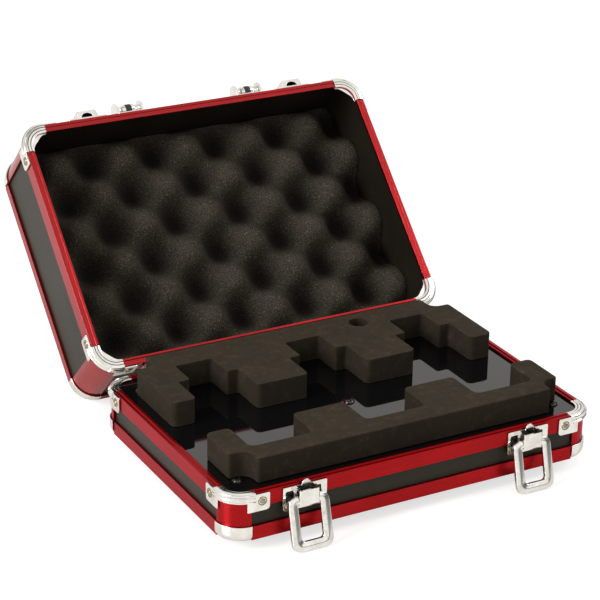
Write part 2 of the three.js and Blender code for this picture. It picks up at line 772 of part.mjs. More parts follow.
const base = new THREE.Group();
base.position.z = footHeight;
object.add(base);
addHalf(base, 'base', baseHeight, baseEdgeBand, baseRim(), 1);
addMesh(base, 'tray_board', tray(), glossBlack);
const foamLow = baseHeight - trayDrop + seatGap;
const foamHigh = baseHeight - trayDrop + foamThickness;
addMesh(base, 'front_foam', extrude(frontFoam(), foamLow, foamHigh, 3), cutFoam);
addMesh(base, 'back_foam', extrude(backFoam(), foamLow, foamHigh, 3), cutFoam);

[-1, 1].forEach((xSign) => [-1, 1].forEach((ySign) => {
  const label = `${ySign > 0 ? 'back' : 'front'}_${xSign > 0 ? 'right' : 'left'}`;
  const place = { x: xSign * (halfWidth - footFromSide), y: ySign * (halfDepth - footFromFront) };
  addMesh(object, `foot_${label}`, foot(), rubber, place);
}));

[-1, 1].forEach((sign) => {
  const side = sign > 0 ? 'right' : 'left';
  const front = { x: sign * latchX, y: -halfDepth };
  addMesh(base, `latch_base_${side}`, latchBase(), chrome, front);
  addMesh(base, `latch_hook_${side}`, latchHook(), chrome, front);
  const pivot = { x: sign * latchX, y: -halfDepth - bailPivotOut, z: bailPivotUp, turnX: -bailTilt };
  addMesh(base, `latch_bail_${side}`, bail(), chrome, pivot);
});

const hingeLine = { y: hingeY, z: hingeZ };
addMesh(object, 'hinge_base_leaf', hingeLeaf(-1, 0, baseLeafDrop + hingeAboveRim), steel, hingeLine);
const hingePin = rod(hingePinRadius, -hingeHalfLength, hingeHalfLength, 0, 0);
addMesh(object, 'hinge_pin', hingePin, steel, hingeLine);

// The lid turns about the hinge line; inside its group it is drawn closed
const lidPivot = new THREE.Group();
lidPivot.position.set(0, hingeY, hingeZ);
lidPivot.rotation.x = -lidOpenAngle;
object.add(lidPivot);
addMesh(lidPivot, 'hinge_lid_leaf', hingeLeaf(1, 1, lidLeafRise - hingeAboveRim), steel);

const lidShell = new THREE.Group();
lidShell.position.set(0, -hingeY, lidTop - hingeZ);
lidShell.rotation.x = Math.PI;
lidPivot.add(lidShell);
addHalf(lidShell, 'lid', lidShellHeight, lidEdgeBand, lidRim(), -1);
addMesh(lidShell, 'lid_crate_foam', crateFoamBlock(), crateFoam);

const lidFront = new THREE.Group();
lidFront.position.set(0, -halfDepth - hingeY, rimPlane - hingeZ);
lidPivot.add(lidFront);
[-1, 1].forEach((sign) => {
  const side = sign > 0 ? 'right' : 'left';
  addMesh(lidFront, `strike_${side}`, strike(), chrome, { x: sign * latchX });
  addMesh(lidFront, `handle_bracket_${side}`, handleBracket(), chrome, { x: sign * handleX });
});
addMesh(lidFront, 'handle', handle(), gripPlastic, { y: -handleOut, z: handleUp });

// The origin is the middle of the open case's footprint
const footprint = new THREE.Box3().setFromObject(object, true);
object.position.y = -(footprint.min.y + footprint.max.y) / 2;

export default object;
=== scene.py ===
import bpy, bmesh, math
from mathutils import Matrix, Vector
from mathutils.geometry import tessellate_polygon


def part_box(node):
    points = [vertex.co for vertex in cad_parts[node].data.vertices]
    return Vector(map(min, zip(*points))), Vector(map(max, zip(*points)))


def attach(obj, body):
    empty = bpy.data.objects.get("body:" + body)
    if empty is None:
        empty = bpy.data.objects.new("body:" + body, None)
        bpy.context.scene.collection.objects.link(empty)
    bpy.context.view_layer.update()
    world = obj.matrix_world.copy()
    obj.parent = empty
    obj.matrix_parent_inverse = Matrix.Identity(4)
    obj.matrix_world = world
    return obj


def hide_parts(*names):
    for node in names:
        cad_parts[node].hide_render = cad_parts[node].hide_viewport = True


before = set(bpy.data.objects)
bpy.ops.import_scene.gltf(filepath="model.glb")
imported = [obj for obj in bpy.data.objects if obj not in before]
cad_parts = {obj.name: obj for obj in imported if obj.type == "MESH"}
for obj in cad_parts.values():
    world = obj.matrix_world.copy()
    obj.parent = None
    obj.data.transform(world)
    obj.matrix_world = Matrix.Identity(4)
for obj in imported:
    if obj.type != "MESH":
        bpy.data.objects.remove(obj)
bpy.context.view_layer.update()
print("frame loaded with", len(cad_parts), "nodes")

scene = bpy.context.scene
mm = 0.001
quarter = math.pi / 2

# The case's own measures in millimetres, as its solids have them
case = {
    "width": 250, "depth": 173, "baseHeight": 30, "lidHeight": 58.3, "closedGap": 0.4,
    "cornerRadius": 15, "footHeight": 8.6, "openAngle": math.radians(134.8),
    "hingeBehind": 3.2, "hingeAboveRim": 1.4, "seat": 0.3,
}
halfWidth, halfDepth = case["width"] / 2, case["depth"] / 2
arcX, arcY = halfWidth - case["cornerRadius"], halfDepth - case["cornerRadius"]
radius = case["cornerRadius"]
seat = case["seat"]
rimLow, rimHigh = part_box("base_rim")
shiftY = (rimLow[1] + rimHigh[1]) / 2 / mm
rimPlane = case["footHeight"] + case["baseHeight"]
hingeY = halfDepth + case["hingeBehind"]
hingeZ = rimPlane + case["hingeAboveRim"]

# Places of the base, the hinge line, the lid drawn face down, and the closed lid's front
basePlace = Matrix.Translation((0, shiftY, case["footHeight"]))
floorPlace = Matrix.Translation((0, shiftY, 0))
hingePlace = Matrix.Translation((0, shiftY + hingeY, hingeZ))
lidTurn = hingePlace @ Matrix.Rotation(-case["openAngle"], 4, "X")
shellLift = Matrix.Translation((0, -hingeY, rimPlane + case["lidHeight"] - hingeZ))
lidPlace = lidTurn @ shellLift @ Matrix.Rotation(math.pi, 4, "X")
lidFrontPlace = lidTurn @ Matrix.Translation((0, -halfDepth - hingeY, rimPlane - hingeZ))
baseFrontPlace = basePlace @ Matrix.Translation((0, -halfDepth, 0))
lidShellHeight = case["lidHeight"] - case["closedGap"]


# Camera at the photograph's viewing angle
camera = {"place": (-610.4, -1048.1, 618.4), "yaw": 28.84, "pitch": -23.40, "roll": 0.0143, "lens": 2180.6}
imageWidth, sensorWidth = 600, 36


def placeCamera():
    yaw, pitch = math.radians(camera["yaw"]), math.radians(camera["pitch"])
    ahead = Vector((math.sin(yaw) * math.cos(pitch), math.cos(yaw) * math.cos(pitch), math.sin(pitch)))
    right = Vector((math.cos(yaw), -math.sin(yaw), 0))
    up = right.cross(ahead)
    roll = camera["roll"]
    right, up = math.cos(roll) * right + math.sin(roll) * up, math.cos(roll) * up - math.sin(roll) * right
    data = bpy.data.cameras.new("studioCamera")
    data.sensor_width = sensorWidth
    data.lens = camera["lens"] / imageWidth * sensorWidth
    data.clip_start, data.clip_end = 0.05, 20
    eye = bpy.data.objects.new("studioCamera", data)
    scene.collection.objects.link(eye)
    turn = Matrix((right, up, -ahead)).transposed().to_4x4()
    eye.matrix_world = Matrix.Translation((basePlace @ Vector(camera["place"])) * mm) @ turn
    scene.camera = eye


placeCamera()
print("camera placed")


# Node maths written as expressions on sockets
class Wire:
    def __init__(self, bench, socket):
        self.bench, self.socket = bench, socket

    def maths(self, operation, *values):
        return self.bench.node("ShaderNodeMath", {"operation": operation}, dict(enumerate(values)))

    def __add__(self, other): return self.maths("ADD", self, other)
    def __radd__(self, other): return self.maths("ADD", other, self)
    def __sub__(self, other): return self.maths("SUBTRACT", self, other)
    def __rsub__(self, other): return self.maths("SUBTRACT", other, self)
    def __mul__(self, other): return self.maths("MULTIPLY", self, other)
    def __rmul__(self, other): return self.maths("MULTIPLY", other, self)
    def __truediv__(self, other): return self.maths("DIVIDE", self, other)
    def __pow__(self, other): return self.maths("POWER", self, other)
    def __gt__(self, other): return self.maths("GREATER_THAN", self, other)
    def __abs__(self): return self.maths("ABSOLUTE", self)
    def cos(self): return self.maths("COSINE", self)
    def larger(self, other): return self.maths("MAXIMUM", self, other)
    def smaller(self, other): return self.maths("MINIMUM", self, other)


class Bench:
    def __init__(self, tree):
        self.tree = tree

    # Makes a node, sets it up, then fills its sockets with values or links
    def node(self, kind, settings=None, inputs=None, out=0):
        made = self.tree.nodes.new(kind)
        for key, value in (settings or {}).items():
            if key == "stops":
                ramp = made.color_ramp.elements
                while len(ramp) < len(value):
                    ramp.new(0.5)
                for stop, (position, shade) in zip(ramp, value):
                    stop.position = position
                    stop.color = (shade, shade, shade, 1)
            else:
                setattr(made, key, value)
        for key, value in (inputs or {}).items():
            if isinstance(value, Wire):
                self.tree.links.new(value.socket, made.inputs[key])
            else:
                made.inputs[key].default_value = value
        return Wire(self, made.outputs[out]) if made.outputs else made

    def split(self, vector):
        parts = self.node("ShaderNodeSeparateXYZ", None, {0: vector}).socket.node
        return [Wire(self, socket) for socket in parts.outputs]

    def noise(self, vector, scale, detail=3, roughness=0.55):
        sizes = {"Vector": vector, "Scale": scale, "Detail": detail, "Roughness": roughness}
        return self.node("ShaderNodeTexNoise", None, sizes)

    def cells(self, vector, scale, feature="F1"):
        return self.node("ShaderNodeTexVoronoi", {"feature": feature}, {"Vector": vector, "Scale": scale})

    def ramp(self, factor, *stops):
        return self.node("ShaderNodeValToRGB", {"stops": stops}, {"Fac": factor})

    def blend(self, factor, first, second, kind="RGBA"):
        names = {"RGBA": (6, 7, 2), "FLOAT": (2, 3, 0)}[kind]
        ends = {0: factor, names[0]: first, names[1]: second}
        return self.node("ShaderNodeMix", {"data_type": kind}, ends, names[2])

    def stretch(self, vector, scale):
        return self.node("ShaderNodeVectorMath", {"operation": "MULTIPLY"}, {0: vector, 1: scale})

    def bump(self, height, strength, distance):
        sizes = {"Strength": strength, "Distance": distance, "Height": height}
        return self.node("ShaderNodeBump", None, sizes)


def colour(red, green, blue):
    def linear(value):
        value /= 255
        return value / 12.92 if value <= 0.04045 else ((value + 0.055) / 1.055) ** 2.4
    return (linear(red), linear(green), linear(blue), 1)


# A finish is a material whose recipe gets a bench and the object's coordinates
def newFinish(name, fixed, recipe, place=None):
    material = bpy.data.materials.new(name)
    material.use_nodes = True
    tree = material.node_tree
    shader = next(node for node in tree.nodes if node.type == "BSDF_PRINCIPLED")
    for key, value in fixed.items():
        shader.inputs[key].default_value = value
    bench = Bench(tree)
    coords = bench.node("ShaderNodeTexCoord", None, None, "Object")
    if place is not None:
        back = (Matrix.Scale(mm, 4) @ place @ Matrix.Scale(1 / mm, 4)).inverted()
        turn = {"Location": back.translation, "Rotation": back.to_euler()}
        coords = bench.node("ShaderNodeMapping", {"vector_type": "POINT"}, {"Vector": coords, **turn})
    for key, value in recipe(bench, coords).items():
        tree.links.new(value.socket, shader.inputs[key])
    return material


redLook = {
    "deep": colour(134, 6, 9), "bright": colour(174, 16, 22), "grainAlong": 22, "grainAcross": 3200,
    "blotchScale": 30, "roughness": 0.3, "roughSpread": 0.12, "grainDepth": 0.00002,
}


# Anodised aluminium with drawn grain that follows each profile's own direction
def redRecipe(bench, coords):
    x, y, z = bench.split(coords)
    alongX = (abs(y) - halfDepth * mm) > (abs(x) - halfWidth * mm)
    thin, long = redLook["grainAcross"], redLook["grainAlong"]
    grainX = bench.noise(bench.stretch(coords, (long, thin, thin)), 1, 2)
    grainY = bench.noise(bench.stretch(coords, (thin, long, thin)), 1, 2)
    grain = bench.blend(alongX, grainY, grainX, "FLOAT")
    blotch = bench.noise(coords, redLook["blotchScale"], 4)
    shade = bench.ramp(blotch * 0.35 + grain * 0.65, (0.3, 0), (0.7, 1))
    return {
        "Base Color": bench.blend(shade, redLook["deep"], redLook["bright"]),
        "Roughness": redLook["roughness"] + (grain * 0.6 + blotch * 0.4 - 0.5) * redLook["roughSpread"],
        "Normal": bench.bump(grain, 0.35, redLook["grainDepth"]),
    }


boardLook = {"dark": colour(14, 12, 9), "light": colour(36, 31, 23), "pebble": 900, "depth": 0.00006}


# Black laminate with a fine pebble and faint handling marks
def boardRecipe(bench, coords):
    pebble = bench.cells(coords, boardLook["pebble"])
    haze = bench.noise(coords, 22, 5)
    fleck = bench.ramp(bench.noise(coords, 420, 2), (0.45, 0), (0.75, 1))
    return {
        "Base Color": bench.blend(haze * 0.6 + fleck * 0.3, boardLook["dark"], boardLook["light"]),
        "Roughness": 0.36 + haze * 0.16,
        "Normal": bench.bump(pebble, 0.25, boardLook["depth"]),
    }


chromeLook = {"clean": colour(232, 230, 226), "tarnish": colour(186, 182, 174), "roughness": 0.09}


# Bright plate with faint smudges, polishing lines and a duller film in places
def chromeRecipe(bench, coords):
    smudge = bench.ramp(bench.noise(coords, 120, 5, 0.6), (0.42, 0), (0.72, 1))
    polish = bench.noise(bench.stretch(coords, (300, 300, 3200)), 1, 2)
    return {
        "Base Color": bench.blend(smudge * 0.55, chromeLook["clean"], chromeLook["tarnish"]),
        "Roughness": chromeLook["roughness"] + smudge * 0.12 + polish * 0.04,
        "Normal": bench.bump(polish * 0.5 + smudge * 0.5, 0.04, 0.00002),
    }


trayLook = {"base": colour(9, 9, 11), "dust": colour(120, 116, 112), "speck": 1500}


# Glossy black sheet with hair scratches and a little dust
def trayRecipe(bench, coords):
    specks = bench.ramp(bench.cells(coords, trayLook["speck"]), (0.03, 1), (0.09, 0))
    patches = bench.ramp(bench.noise(coords, 40, 4), (0.5, 0), (0.7, 1))
    scratch = bench.noise(bench.stretch(coords, (60, 2600, 1)), 1, 1)
    haze = bench.noise(coords, 30, 4)
    return {
        "Base Color": bench.blend(specks * patches * 0.5, trayLook["base"], trayLook["dust"]),
        "Roughness": 0.02 + haze * 0.02 + specks * patches * 0.3,
        "Normal": bench.bump(scratch, 0.05, 0.00001),
    }


# skin gives the heights of the top face, below which the painted shade on the walls begins
cutLook = {
    "dark": colour(22, 18, 14), "light": colour(70, 60, 46), "dust": colour(112, 100, 84),
    "cell": 2400, "wave": 150, "skin": (52.4, 53.4),
}


# Dense cut foam: closed cells, faint saw waviness on the walls, chalky rubbed patches, and painted shade that
# makes the walls darker than the top face
def cutFoamRecipe(bench, coords):
    cell = bench.cells(coords, cutLook["cell"])
    grain = bench.noise(coords, 1300, 3, 0.7)
    cloud = bench.noise(coords, 35, 5)
    rub = bench.ramp(bench.noise(coords, cutLook["wave"], 4, 0.65), (0.5, 0), (0.8, 1))
    dusty = bench.ramp(bench.noise(coords, 420, 4, 0.7), (0.52, 0), (0.72, 1))
    low, high = cutLook["skin"]
    # Painted shade: below the top face the tone drops to 0.62, so the walls are painted darker than the top
    skin = bench.ramp((bench.split(coords)[2] / mm - low) / (high - low), (0, 0.62), (1, 1))
    height = cell * 0.5 + grain * 0.5 + rub * 0.4
    tone = (cloud * 0.4 + grain * 0.3 + rub * 0.35) * skin
    shade = bench.blend(tone, cutLook["dark"], cutLook["light"])
    return {
        "Base Color": bench.blend(dusty * rub * 0.3, shade, cutLook["dust"]),
        "Roughness": 0.86 + cell * 0.1,
        "Normal": bench.bump(height, 0.55, 0.00016),
    }


# deep and high are the heights over which the painted valley shade lifts; speck is the colour of the painted
# glints
crateLook = {
    "pore": colour(9, 8, 7), "skin": colour(74, 68, 59), "speck": colour(168, 158, 142), "cell": 1150,
    "fine": 2600, "paintedGlint": 1300, "deep": 0.012, "high": 0.034,
}


# Open-celled foam: dark pores between pale struts, with cloudy tone, painted shade that darkens the valleys
# and painted glints on the peaks
def crateFoamRecipe(bench, coords):
    pores = bench.cells(coords, crateLook["cell"])
    fine = bench.noise(coords, crateLook["fine"], 2, 0.8)
    speckle = bench.noise(coords, 800, 4, 0.8)
    cloud = bench.noise(coords, 55, 4)
    x, y, z = bench.split(coords)
    deep, high = crateLook["deep"], crateLook["high"]
    # Painted shade: the colour falls to a tenth towards the valleys, as shade in the pits would
    rise = bench.ramp((z - deep) / (high - deep), (0.0, 0.1), (0.92, 1))
    tone = bench.ramp(pores * 0.5 + fine * 0.3 + speckle * 0.35, (0.3, 0), (0.8, 1))
    # Painted highlight: bright glints, only where the peaks rise
    paintedGlint = bench.ramp(bench.noise(coords, crateLook["paintedGlint"], 2, 0.9), (0.6, 0), (0.74, 1)) * rise
    shade = bench.blend((tone * 0.8 + cloud * 0.3) * rise, crateLook["pore"], crateLook["skin"])
    return {
        "Base Color": bench.blend(paintedGlint * 0.7, shade, crateLook["speck"]),
        "Roughness": 0.92 + cloud * 0.06,
        "Normal": bench.bump(pores * 0.6 + speckle * 0.6 + fine * 0.3, 0.9, 0.0006),
    }


# Moulded rubber and plastic share a recipe with their own grain
def mouldedRecipe(dark, light, scale, rough, depth):
    def recipe(bench, coords):
        grain = bench.noise(coords, scale, 3, 0.7)
        wear = bench.ramp(bench.noise(coords, 90, 5), (0.45, 0), (0.7, 1))
        return {
            "Base Color": bench.blend(wear * 0.6 + grain * 0.3, dark, light),
            "Roughness": rough + grain * 0.12 - wear * 0.06,
            "Normal": bench.bump(grain, 0.4, depth),
        }
    return recipe


# Plated steel of the hinge and screws, brushed along X
def steelRecipe(bench, coords):
    brush = bench.noise(bench.stretch(coords, (120, 2400, 2400)), 1, 2)
    spots = bench.ramp(bench.noise(coords, 200, 5, 0.6), (0.5, 0), (0.75, 1))
    return {
        "Base Color": bench.blend(spots * 0.6, colour(196, 195, 192), colour(150, 146, 140)),
        "Roughness": 0.2 + brush * 0.16 + spots * 0.1,
        "Normal": bench.bump(brush, 0.2, 0.00002),
    }


anodised = {
    "Metallic": 0.97, "Coat Weight": 0.14, "Coat Roughness": 0.12, "IOR": 1.5,
    "Specular Tint": (1, 0.65, 0.7, 1),
}
brighter = {**anodised, "Coat Weight": 0.5}
glossier = {**anodised, "Coat Weight": 0.45, "Specular Tint": (1, 1, 1, 1)}
laminate = {"IOR": 1.48, "Specular IOR Level": 0.33, "Specular Tint": (1, 0.9, 0.76, 1)}
finishes = {
    "baseRed": newFinish("redAnodisedBase", anodised, redRecipe, basePlace),
    "lidRed": newFinish("redAnodisedLid", brighter, redRecipe, lidPlace),
    "lidPostRed": newFinish("redAnodisedPost", glossier, redRecipe, lidPlace),
    "board": newFinish("blackLaminate", laminate, boardRecipe),
    "chrome": newFinish("brightPlate", {"Metallic": 1.0}, chromeRecipe),
    "tray": newFinish("glossSheet", {"IOR": 1.5, "Specular Tint": (1, 0.94, 0.86, 1)}, trayRecipe),
    "cutFoam": newFinish("denseFoam", {"IOR": 1.35, "Specular IOR Level": 0.25}, cutFoamRecipe),
    "crateFoam": newFinish("openFoam", {"IOR": 1.35, "Specular IOR Level": 0.1}, crateFoamRecipe, lidPlace),
    "rubber": newFinish("footRubber", {"IOR": 1.45},
                        mouldedRecipe(colour(20, 20, 20), colour(46, 44, 42), 900, 0.66, 0.00008)),
    "grip": newFinish("gripPlastic", {"IOR": 1.46},
                      mouldedRecipe(colour(18, 18, 18), colour(38, 37, 36), 1400, 0.42, 0.00005)),
    "steel": newFinish("platedSteel", {"Metallic": 1.0}, steelRecipe),
    "darkSteel": newFinish("blackenedSteel", {"Metallic": 0.9},
                           mouldedRecipe(colour(40, 38, 36), colour(92, 88, 82), 600, 0.18, 0.00004)),
    "rivet": newFinish("rivetMetal", {"Metallic": 1.0},
                       mouldedRecipe(colour(132, 120, 96), colour(190, 180, 158), 700, 0.16, 0.00003)),
}
print("finishes mixed:", len(finishes))


# Mesh tools, in millimetres
def ringVerts(bm, ring):
    return [bm.verts.new(point) for point in ring]


# Skin over rings of equal count: a closed path joins its ends, an open one is capped
def addLoft(bm, rings, closed=False):
    loops = [ringVerts(bm, ring) for ring in rings]
    pairs = list(zip(loops, loops[1:]))
    if closed:
        pairs.append((loops[-1], loops[0]))
    for near, far in pairs:
        for i in range(len(near)):
            j = (i + 1) % len(near)
            bm.faces.new((near[i], near[j], far[j], far[i]))
    if not closed:
        bm.faces.new(list(reversed(loops[0])))
        bm.faces.new(loops[-1])


# Points of a soft bend from start to end, drawn towards the corner between them
def bendPoints(start, corner, end, steps):
    shares = [k / steps for k in range(steps + 1)]
    return [start * (1 - t) ** 2 + corner * 2 * t * (1 - t) + end * t ** 2 for t in shares]


# Outline through (x, y, radius) corners, each rounded as the solids round theirs
def roundedOutline(corners, steps=6):
    points = []
    for i, (x, y, size) in enumerate(corners):
        corner = Vector((x, y))
        before = Vector(corners[i - 1][:2]) - corner
        after = Vector(corners[(i + 1) % len(corners)][:2]) - corner
        if size <= 0:
            points.append(corner)
            continue
        start, end = corner + before.normalized() * size, corner + after.normalized() * size
        points += bendPoints(start, corner, end, steps)
    return points


# Box outline with one rounding for its two low corners and one for its two high corners
def boxOutline(left, low, right, high, lowSize=0, highSize=0, steps=6):
    corners = [(left, low, lowSize), (right, low, lowSize), (right, high, highSize), (left, high, highSize)]
    return roundedOutline(corners, steps)


def arcPoint(size, a):
    return Vector((size * math.cos(a), size * math.sin(a)))


def circle(size, steps=24, centre=(0, 0)):
    return [Vector(centre) + arcPoint(size, 2 * math.pi * k / steps) for k in range(steps)]


# Slab between two heights of an outline, with holes
def addSlab(bm, outline, low, high, place=Matrix(), holes=()):
    loops = [[Vector((*p, 0)) for p in loop] for loop in (outline, *holes)]
    flat = [p for loop in loops for p in loop]
    levels = [[bm.verts.new(place @ Vector((p.x, p.y, z))) for p in flat] for z in (low, high)]
    if holes:
        for face in tessellate_polygon(loops):
            bm.faces.new([levels[0][i] for i in face])
            bm.faces.new([levels[1][i] for i in reversed(face)])
    else:
        bm.faces.new(list(reversed(levels[0])))
        bm.faces.new(levels[1])
    start = 0
    for loop in loops:
        for i in range(len(loop)):
            a, b = start + i, start + (i + 1) % len(loop)
            bm.faces.new((levels[0][a], levels[0][b], levels[1][b], levels[1][a]))
        start += len(loop)


# Slab whose outline lies in X and Z and whose depth grows towards -Y
upright = Matrix(((1, 0, 0, 0), (0, 0, -1, 0), (0, 1, 0, 0), (0, 0, 0, 1)))


def addUpright(bm, outline, near, far, place=Matrix(), holes=()):
    addSlab(bm, outline, near, far, place @ upright, holes)


# Tube or rod along X, with an optional bore and softened ends
def addRod(bm, size, start, end, place=Matrix(), bore=0, steps=24, soft=0.3):
    stations = [(start, size - soft), (start + soft * 0.3, size - soft * 0.3), (start + soft, size)]
    stations += [(end - soft, size), (end - soft * 0.3, size - soft * 0.3), (end, size - soft)]
    if bore:
        stations += [(end, bore), (start, bore)]
    rings = []
    for x, r in stations:
        ring = circle(r, steps)
        rings.append([place @ Vector((x, p.x, p.y)) for p in ring])
    addLoft(bm, rings, closed=bool(bore))


# Section [(radius, height)] turned about Z between two angles
def addTurned(bm, section, start=0.0, end=2 * math.pi, steps=32, place=Matrix()):
    whole = end - start > 2 * math.pi - 0.001
    count = steps if whole else steps + 1
    rings = []
    for k in range(count):
        a = start + (end - start) * k / steps
        rings.append([place @ Vector((r * math.cos(a), r * math.sin(a), z)) for r, z in section])
    addLoft(bm, rings, closed=whole)


def giveFinish(mesh, finish):
    mesh.materials.clear()
    mesh.materials.append(finishes[finish])


def makePiece(name, bm, place, finish, body, stands=(), rounding=0.0, segments=2, sharp=35):
    bmesh.ops.remove_doubles(bm, verts=bm.verts, dist=0.002)
    bmesh.ops.dissolve_degenerate(bm, edges=bm.edges, dist=0.002)
    bmesh.ops.dissolve_limit(bm, verts=bm.verts, edges=bm.edges, angle_limit=math.radians(0.3))
    bmesh.ops.recalc_face_normals(bm, faces=bm.faces)
    bm.transform(Matrix.Scale(mm, 4) @ place)
    mesh = bpy.data.meshes.new(name)
    bm.to_mesh(mesh)
    bm.free()
    return dressMesh(name, mesh, finish, body, stands, rounding, segments, sharp)


def dressMesh(name, mesh, finish, body, stands=(), rounding=0.0, segments=2, sharp=35):
    piece = bpy.data.objects.new(name, mesh)
    scene.collection.objects.link(piece)
    giveFinish(mesh, finish)
    mesh.polygons.foreach_set("use_smooth", [True] * len(mesh.polygons))
    mesh.set_sharp_from_angle(angle=math.radians(sharp))
    if rounding:
        bevel = piece.modifiers.new("edges", "BEVEL")
        bevel.width, bevel.segments = rounding * mm, segments
        bevel.limit_method, bevel.angle_limit = "ANGLE", math.radians(30)
        bevel.harden_normals = True
    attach(piece, body)
    if stands:
        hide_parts(*stands)
    return piece


# Four corners of one half: label, turn about the arc centre
def cornersOf(ySign):
    for k in range(4):
        xSign, side = (1 if k % 3 == 0 else -1), (1 if k < 2 else -1)
        label = ("back" if side * ySign > 0 else "front") + ("_right" if xSign > 0 else "_left")
        centre = Matrix.Translation((xSign * arcX, side * arcY, 0))
        yield label, centre @ Matrix.Rotation(k * quarter, 4, "Z")


# Stations round the case's rounded rectangle: arc centre, outward direction, in a corner or not
def caseStations(reach, steps=20):
    stations = []
    for k in range(4):
        centre = Vector(((arcX if k % 3 == 0 else -arcX), (arcY if k < 2 else -arcY)))
        for i in range(steps + 1):
            out = arcPoint(1, quarter * (k + i / steps))
            along = Vector((-out.y, out.x)) * reach
            if i == 0:
                stations += [(centre - along, out, False), (centre - along, out, True)]
            stations.append((centre, out, True))
            if i == steps:
                stations += [(centre + along, out, True), (centre + along, out, False)]
    return stations


# Profile [(inset, height)] run round the case, with another section at the corners
def addProfile(bm, run, corner, reach):
    rings = []
    for centre, out, inCorner in caseStations(reach):
        section = corner if inCorner else run
        ring = []
        for inset, z in section:
            point = centre + out * (radius - inset)
            ring.append(Vector((point.x, point.y, z)))
        rings.append(ring)
    addLoft(bm, rings, closed=True)


profile = {
    "skin": 1.2, "flange": 10, "rimWidth": 5.2, "web": 1.8, "leg": 1.0, "legHeight": 2.4,
    "tongue": (2.2, 3.4, 0.8), "groove": (2.0, 3.6, -0.7), "coverDrop": 1.0, "postEnd": -4.3,
    "coverReach": 2.4, "capInset": 7.2, "rounding": 0.28,
}


# Rim frame with its tongue or groove, lowered where the chrome corners cover it
def makeRim(name, height, band, lip, place, finish, body):
    near, far, rise = lip
    top = profile["rimWidth"]
    run = [
        (0, -band), (0, 0), (near, 0), (near, rise), (far, rise), (far, 0),
        (top, 0), (top, -profile["legHeight"]), (top - profile["leg"], -profile["legHeight"]),
        (top - profile["leg"], -profile["web"]), (profile["skin"], -profile["web"]),
        (profile["skin"], -band),
    ]
    corner = []
    for inset, z in run:
        lowered = min(z, -profile["coverDrop"])
        if z in (0, rise) and near <= inset <= far:
            lowered = -profile["coverDrop"]
        if inset <= profile["skin"]:
            lowered = max(lowered, profile["postEnd"])
        corner.append((inset, lowered))
    bm = bmesh.new()
    shifted = [[(inset, z + height) for inset, z in part] for part in (run, corner)]
    addProfile(bm, *shifted, profile["coverReach"])
    makePiece(name, bm, place, finish, body, [name.replace("_run", "")], profile["rounding"])


# Edge frame round the outer face: skin up the wall, flange over the panel
def makeEdgeFrame(name, band, place, finish, body):
    skin, flange, inset = profile["skin"], profile["flange"], profile["capInset"]
    run = [(0, 0), (0, band), (skin, band), (skin, skin), (flange, skin), (flange, 0)]
    corner = [(inset, 0), (inset, skin), (inset, skin), (inset, skin), (flange, skin), (flange, 0)]
    bm = bmesh.new()
    addProfile(bm, run, corner, 0.02)
    makePiece(name, bm, place, finish, body, [name.replace("_run", "")], profile["rounding"] * 1.6, 3)


capSizes = {"thickness": 0.9, "rounding": 4.6, "height": 9.4, "steps": 22}


def capSection(offset, top, steps=12):
    section = [(0, -offset)]
    for i in range(steps + 1):
        a = quarter * i / steps
        r = capSizes["rounding"] + offset
        middle = radius - capSizes["rounding"]
        section.append((middle + r * math.sin(a), capSizes["rounding"] - r * math.cos(a)))
    section.append((radius + offset, top))
    return section


# Ball corner: a quarter cap with a rounded lower edge
def makeBallCorner(name, turn, place, body):
    outer = capSection(seat + capSizes["thickness"], capSizes["height"])
    inner = capSection(seat, capSizes["height"])
    bm = bmesh.new()
    addTurned(bm, outer + list(reversed(inner)), 0, quarter, capSizes["steps"], turn)
    makePiece(name + "_cap", bm, place, "chrome", body, [name], 0.3, 3)


# Corner post: a quarter sleeve between the ball corner and the bracket
def makePost(name, low, high, turn, place, finish, body):
    outer, inner = radius, radius - profile["skin"]
    bm = bmesh.new()
    addTurned(bm, [(outer, low), (outer, high), (inner, high), (inner, low)], 0, quarter, 22, turn)
    makePiece(name + "_sleeve", bm, place, finish, body, [name], 0.25)


bracketSizes = {
    "thickness": 0.9, "strip": 5.4, "straight": 2.1, "coverIn": 9.8, "cover": 0.7, "crown": 0.3,
    "shares": (0, 0.1, 0.2, 0.52, 0.86, 0.96), "grooves": (0.3, 0.66), "grooveWide": 0.56, "grooveDeep": 0.42,
    "ridges": (1.6, 3.9), "ridgeRise": 0.7, "ridgeWidth": 1.7, "shoulder": 1.2, "lap": 0.6,
    "earReach": 11, "earDrop": 11.5, "earTop": 0.7, "earWrap": 3.0, "earCorner": 2.5,
    "rivetFromArc": 6.2, "rivetDrop": 5.4, "web": (8.8, 6.9, 11.3, 2.5), "webDrop": 2.0, "webThick": 0.6,
    "steps": 32,
}
bracketOut = radius + seat + bracketSizes["thickness"]
coverWidth = bracketOut - bracketSizes["shoulder"] - bracketSizes["coverIn"]


# Point of the crowned cover at a share of its width, lowered in a groove
def coverPoint(share, sunk):
    s = bracketSizes
    low = -s["crown"] * (2 * share - 1) ** 2
    return s["coverIn"] + coverWidth * share, low - (s["grooveDeep"] if sunk else 0)


# Top of the cover from its inner edge outwards, with two fine grooves
def coverLine():
    s = bracketSizes
    half = s["grooveWide"] / 2 / coverWidth
    shares = list(s["shares"])
    for centre in s["grooves"]:
        shares += [centre + half * k for k in (-1, -0.5, 0.5, 1)] + [centre + half + 0.08]
    line = []
    for share in sorted(shares):
        line.append(coverPoint(share, any(abs(share - centre) < half * 0.6 for centre in s["grooves"])))
    return line


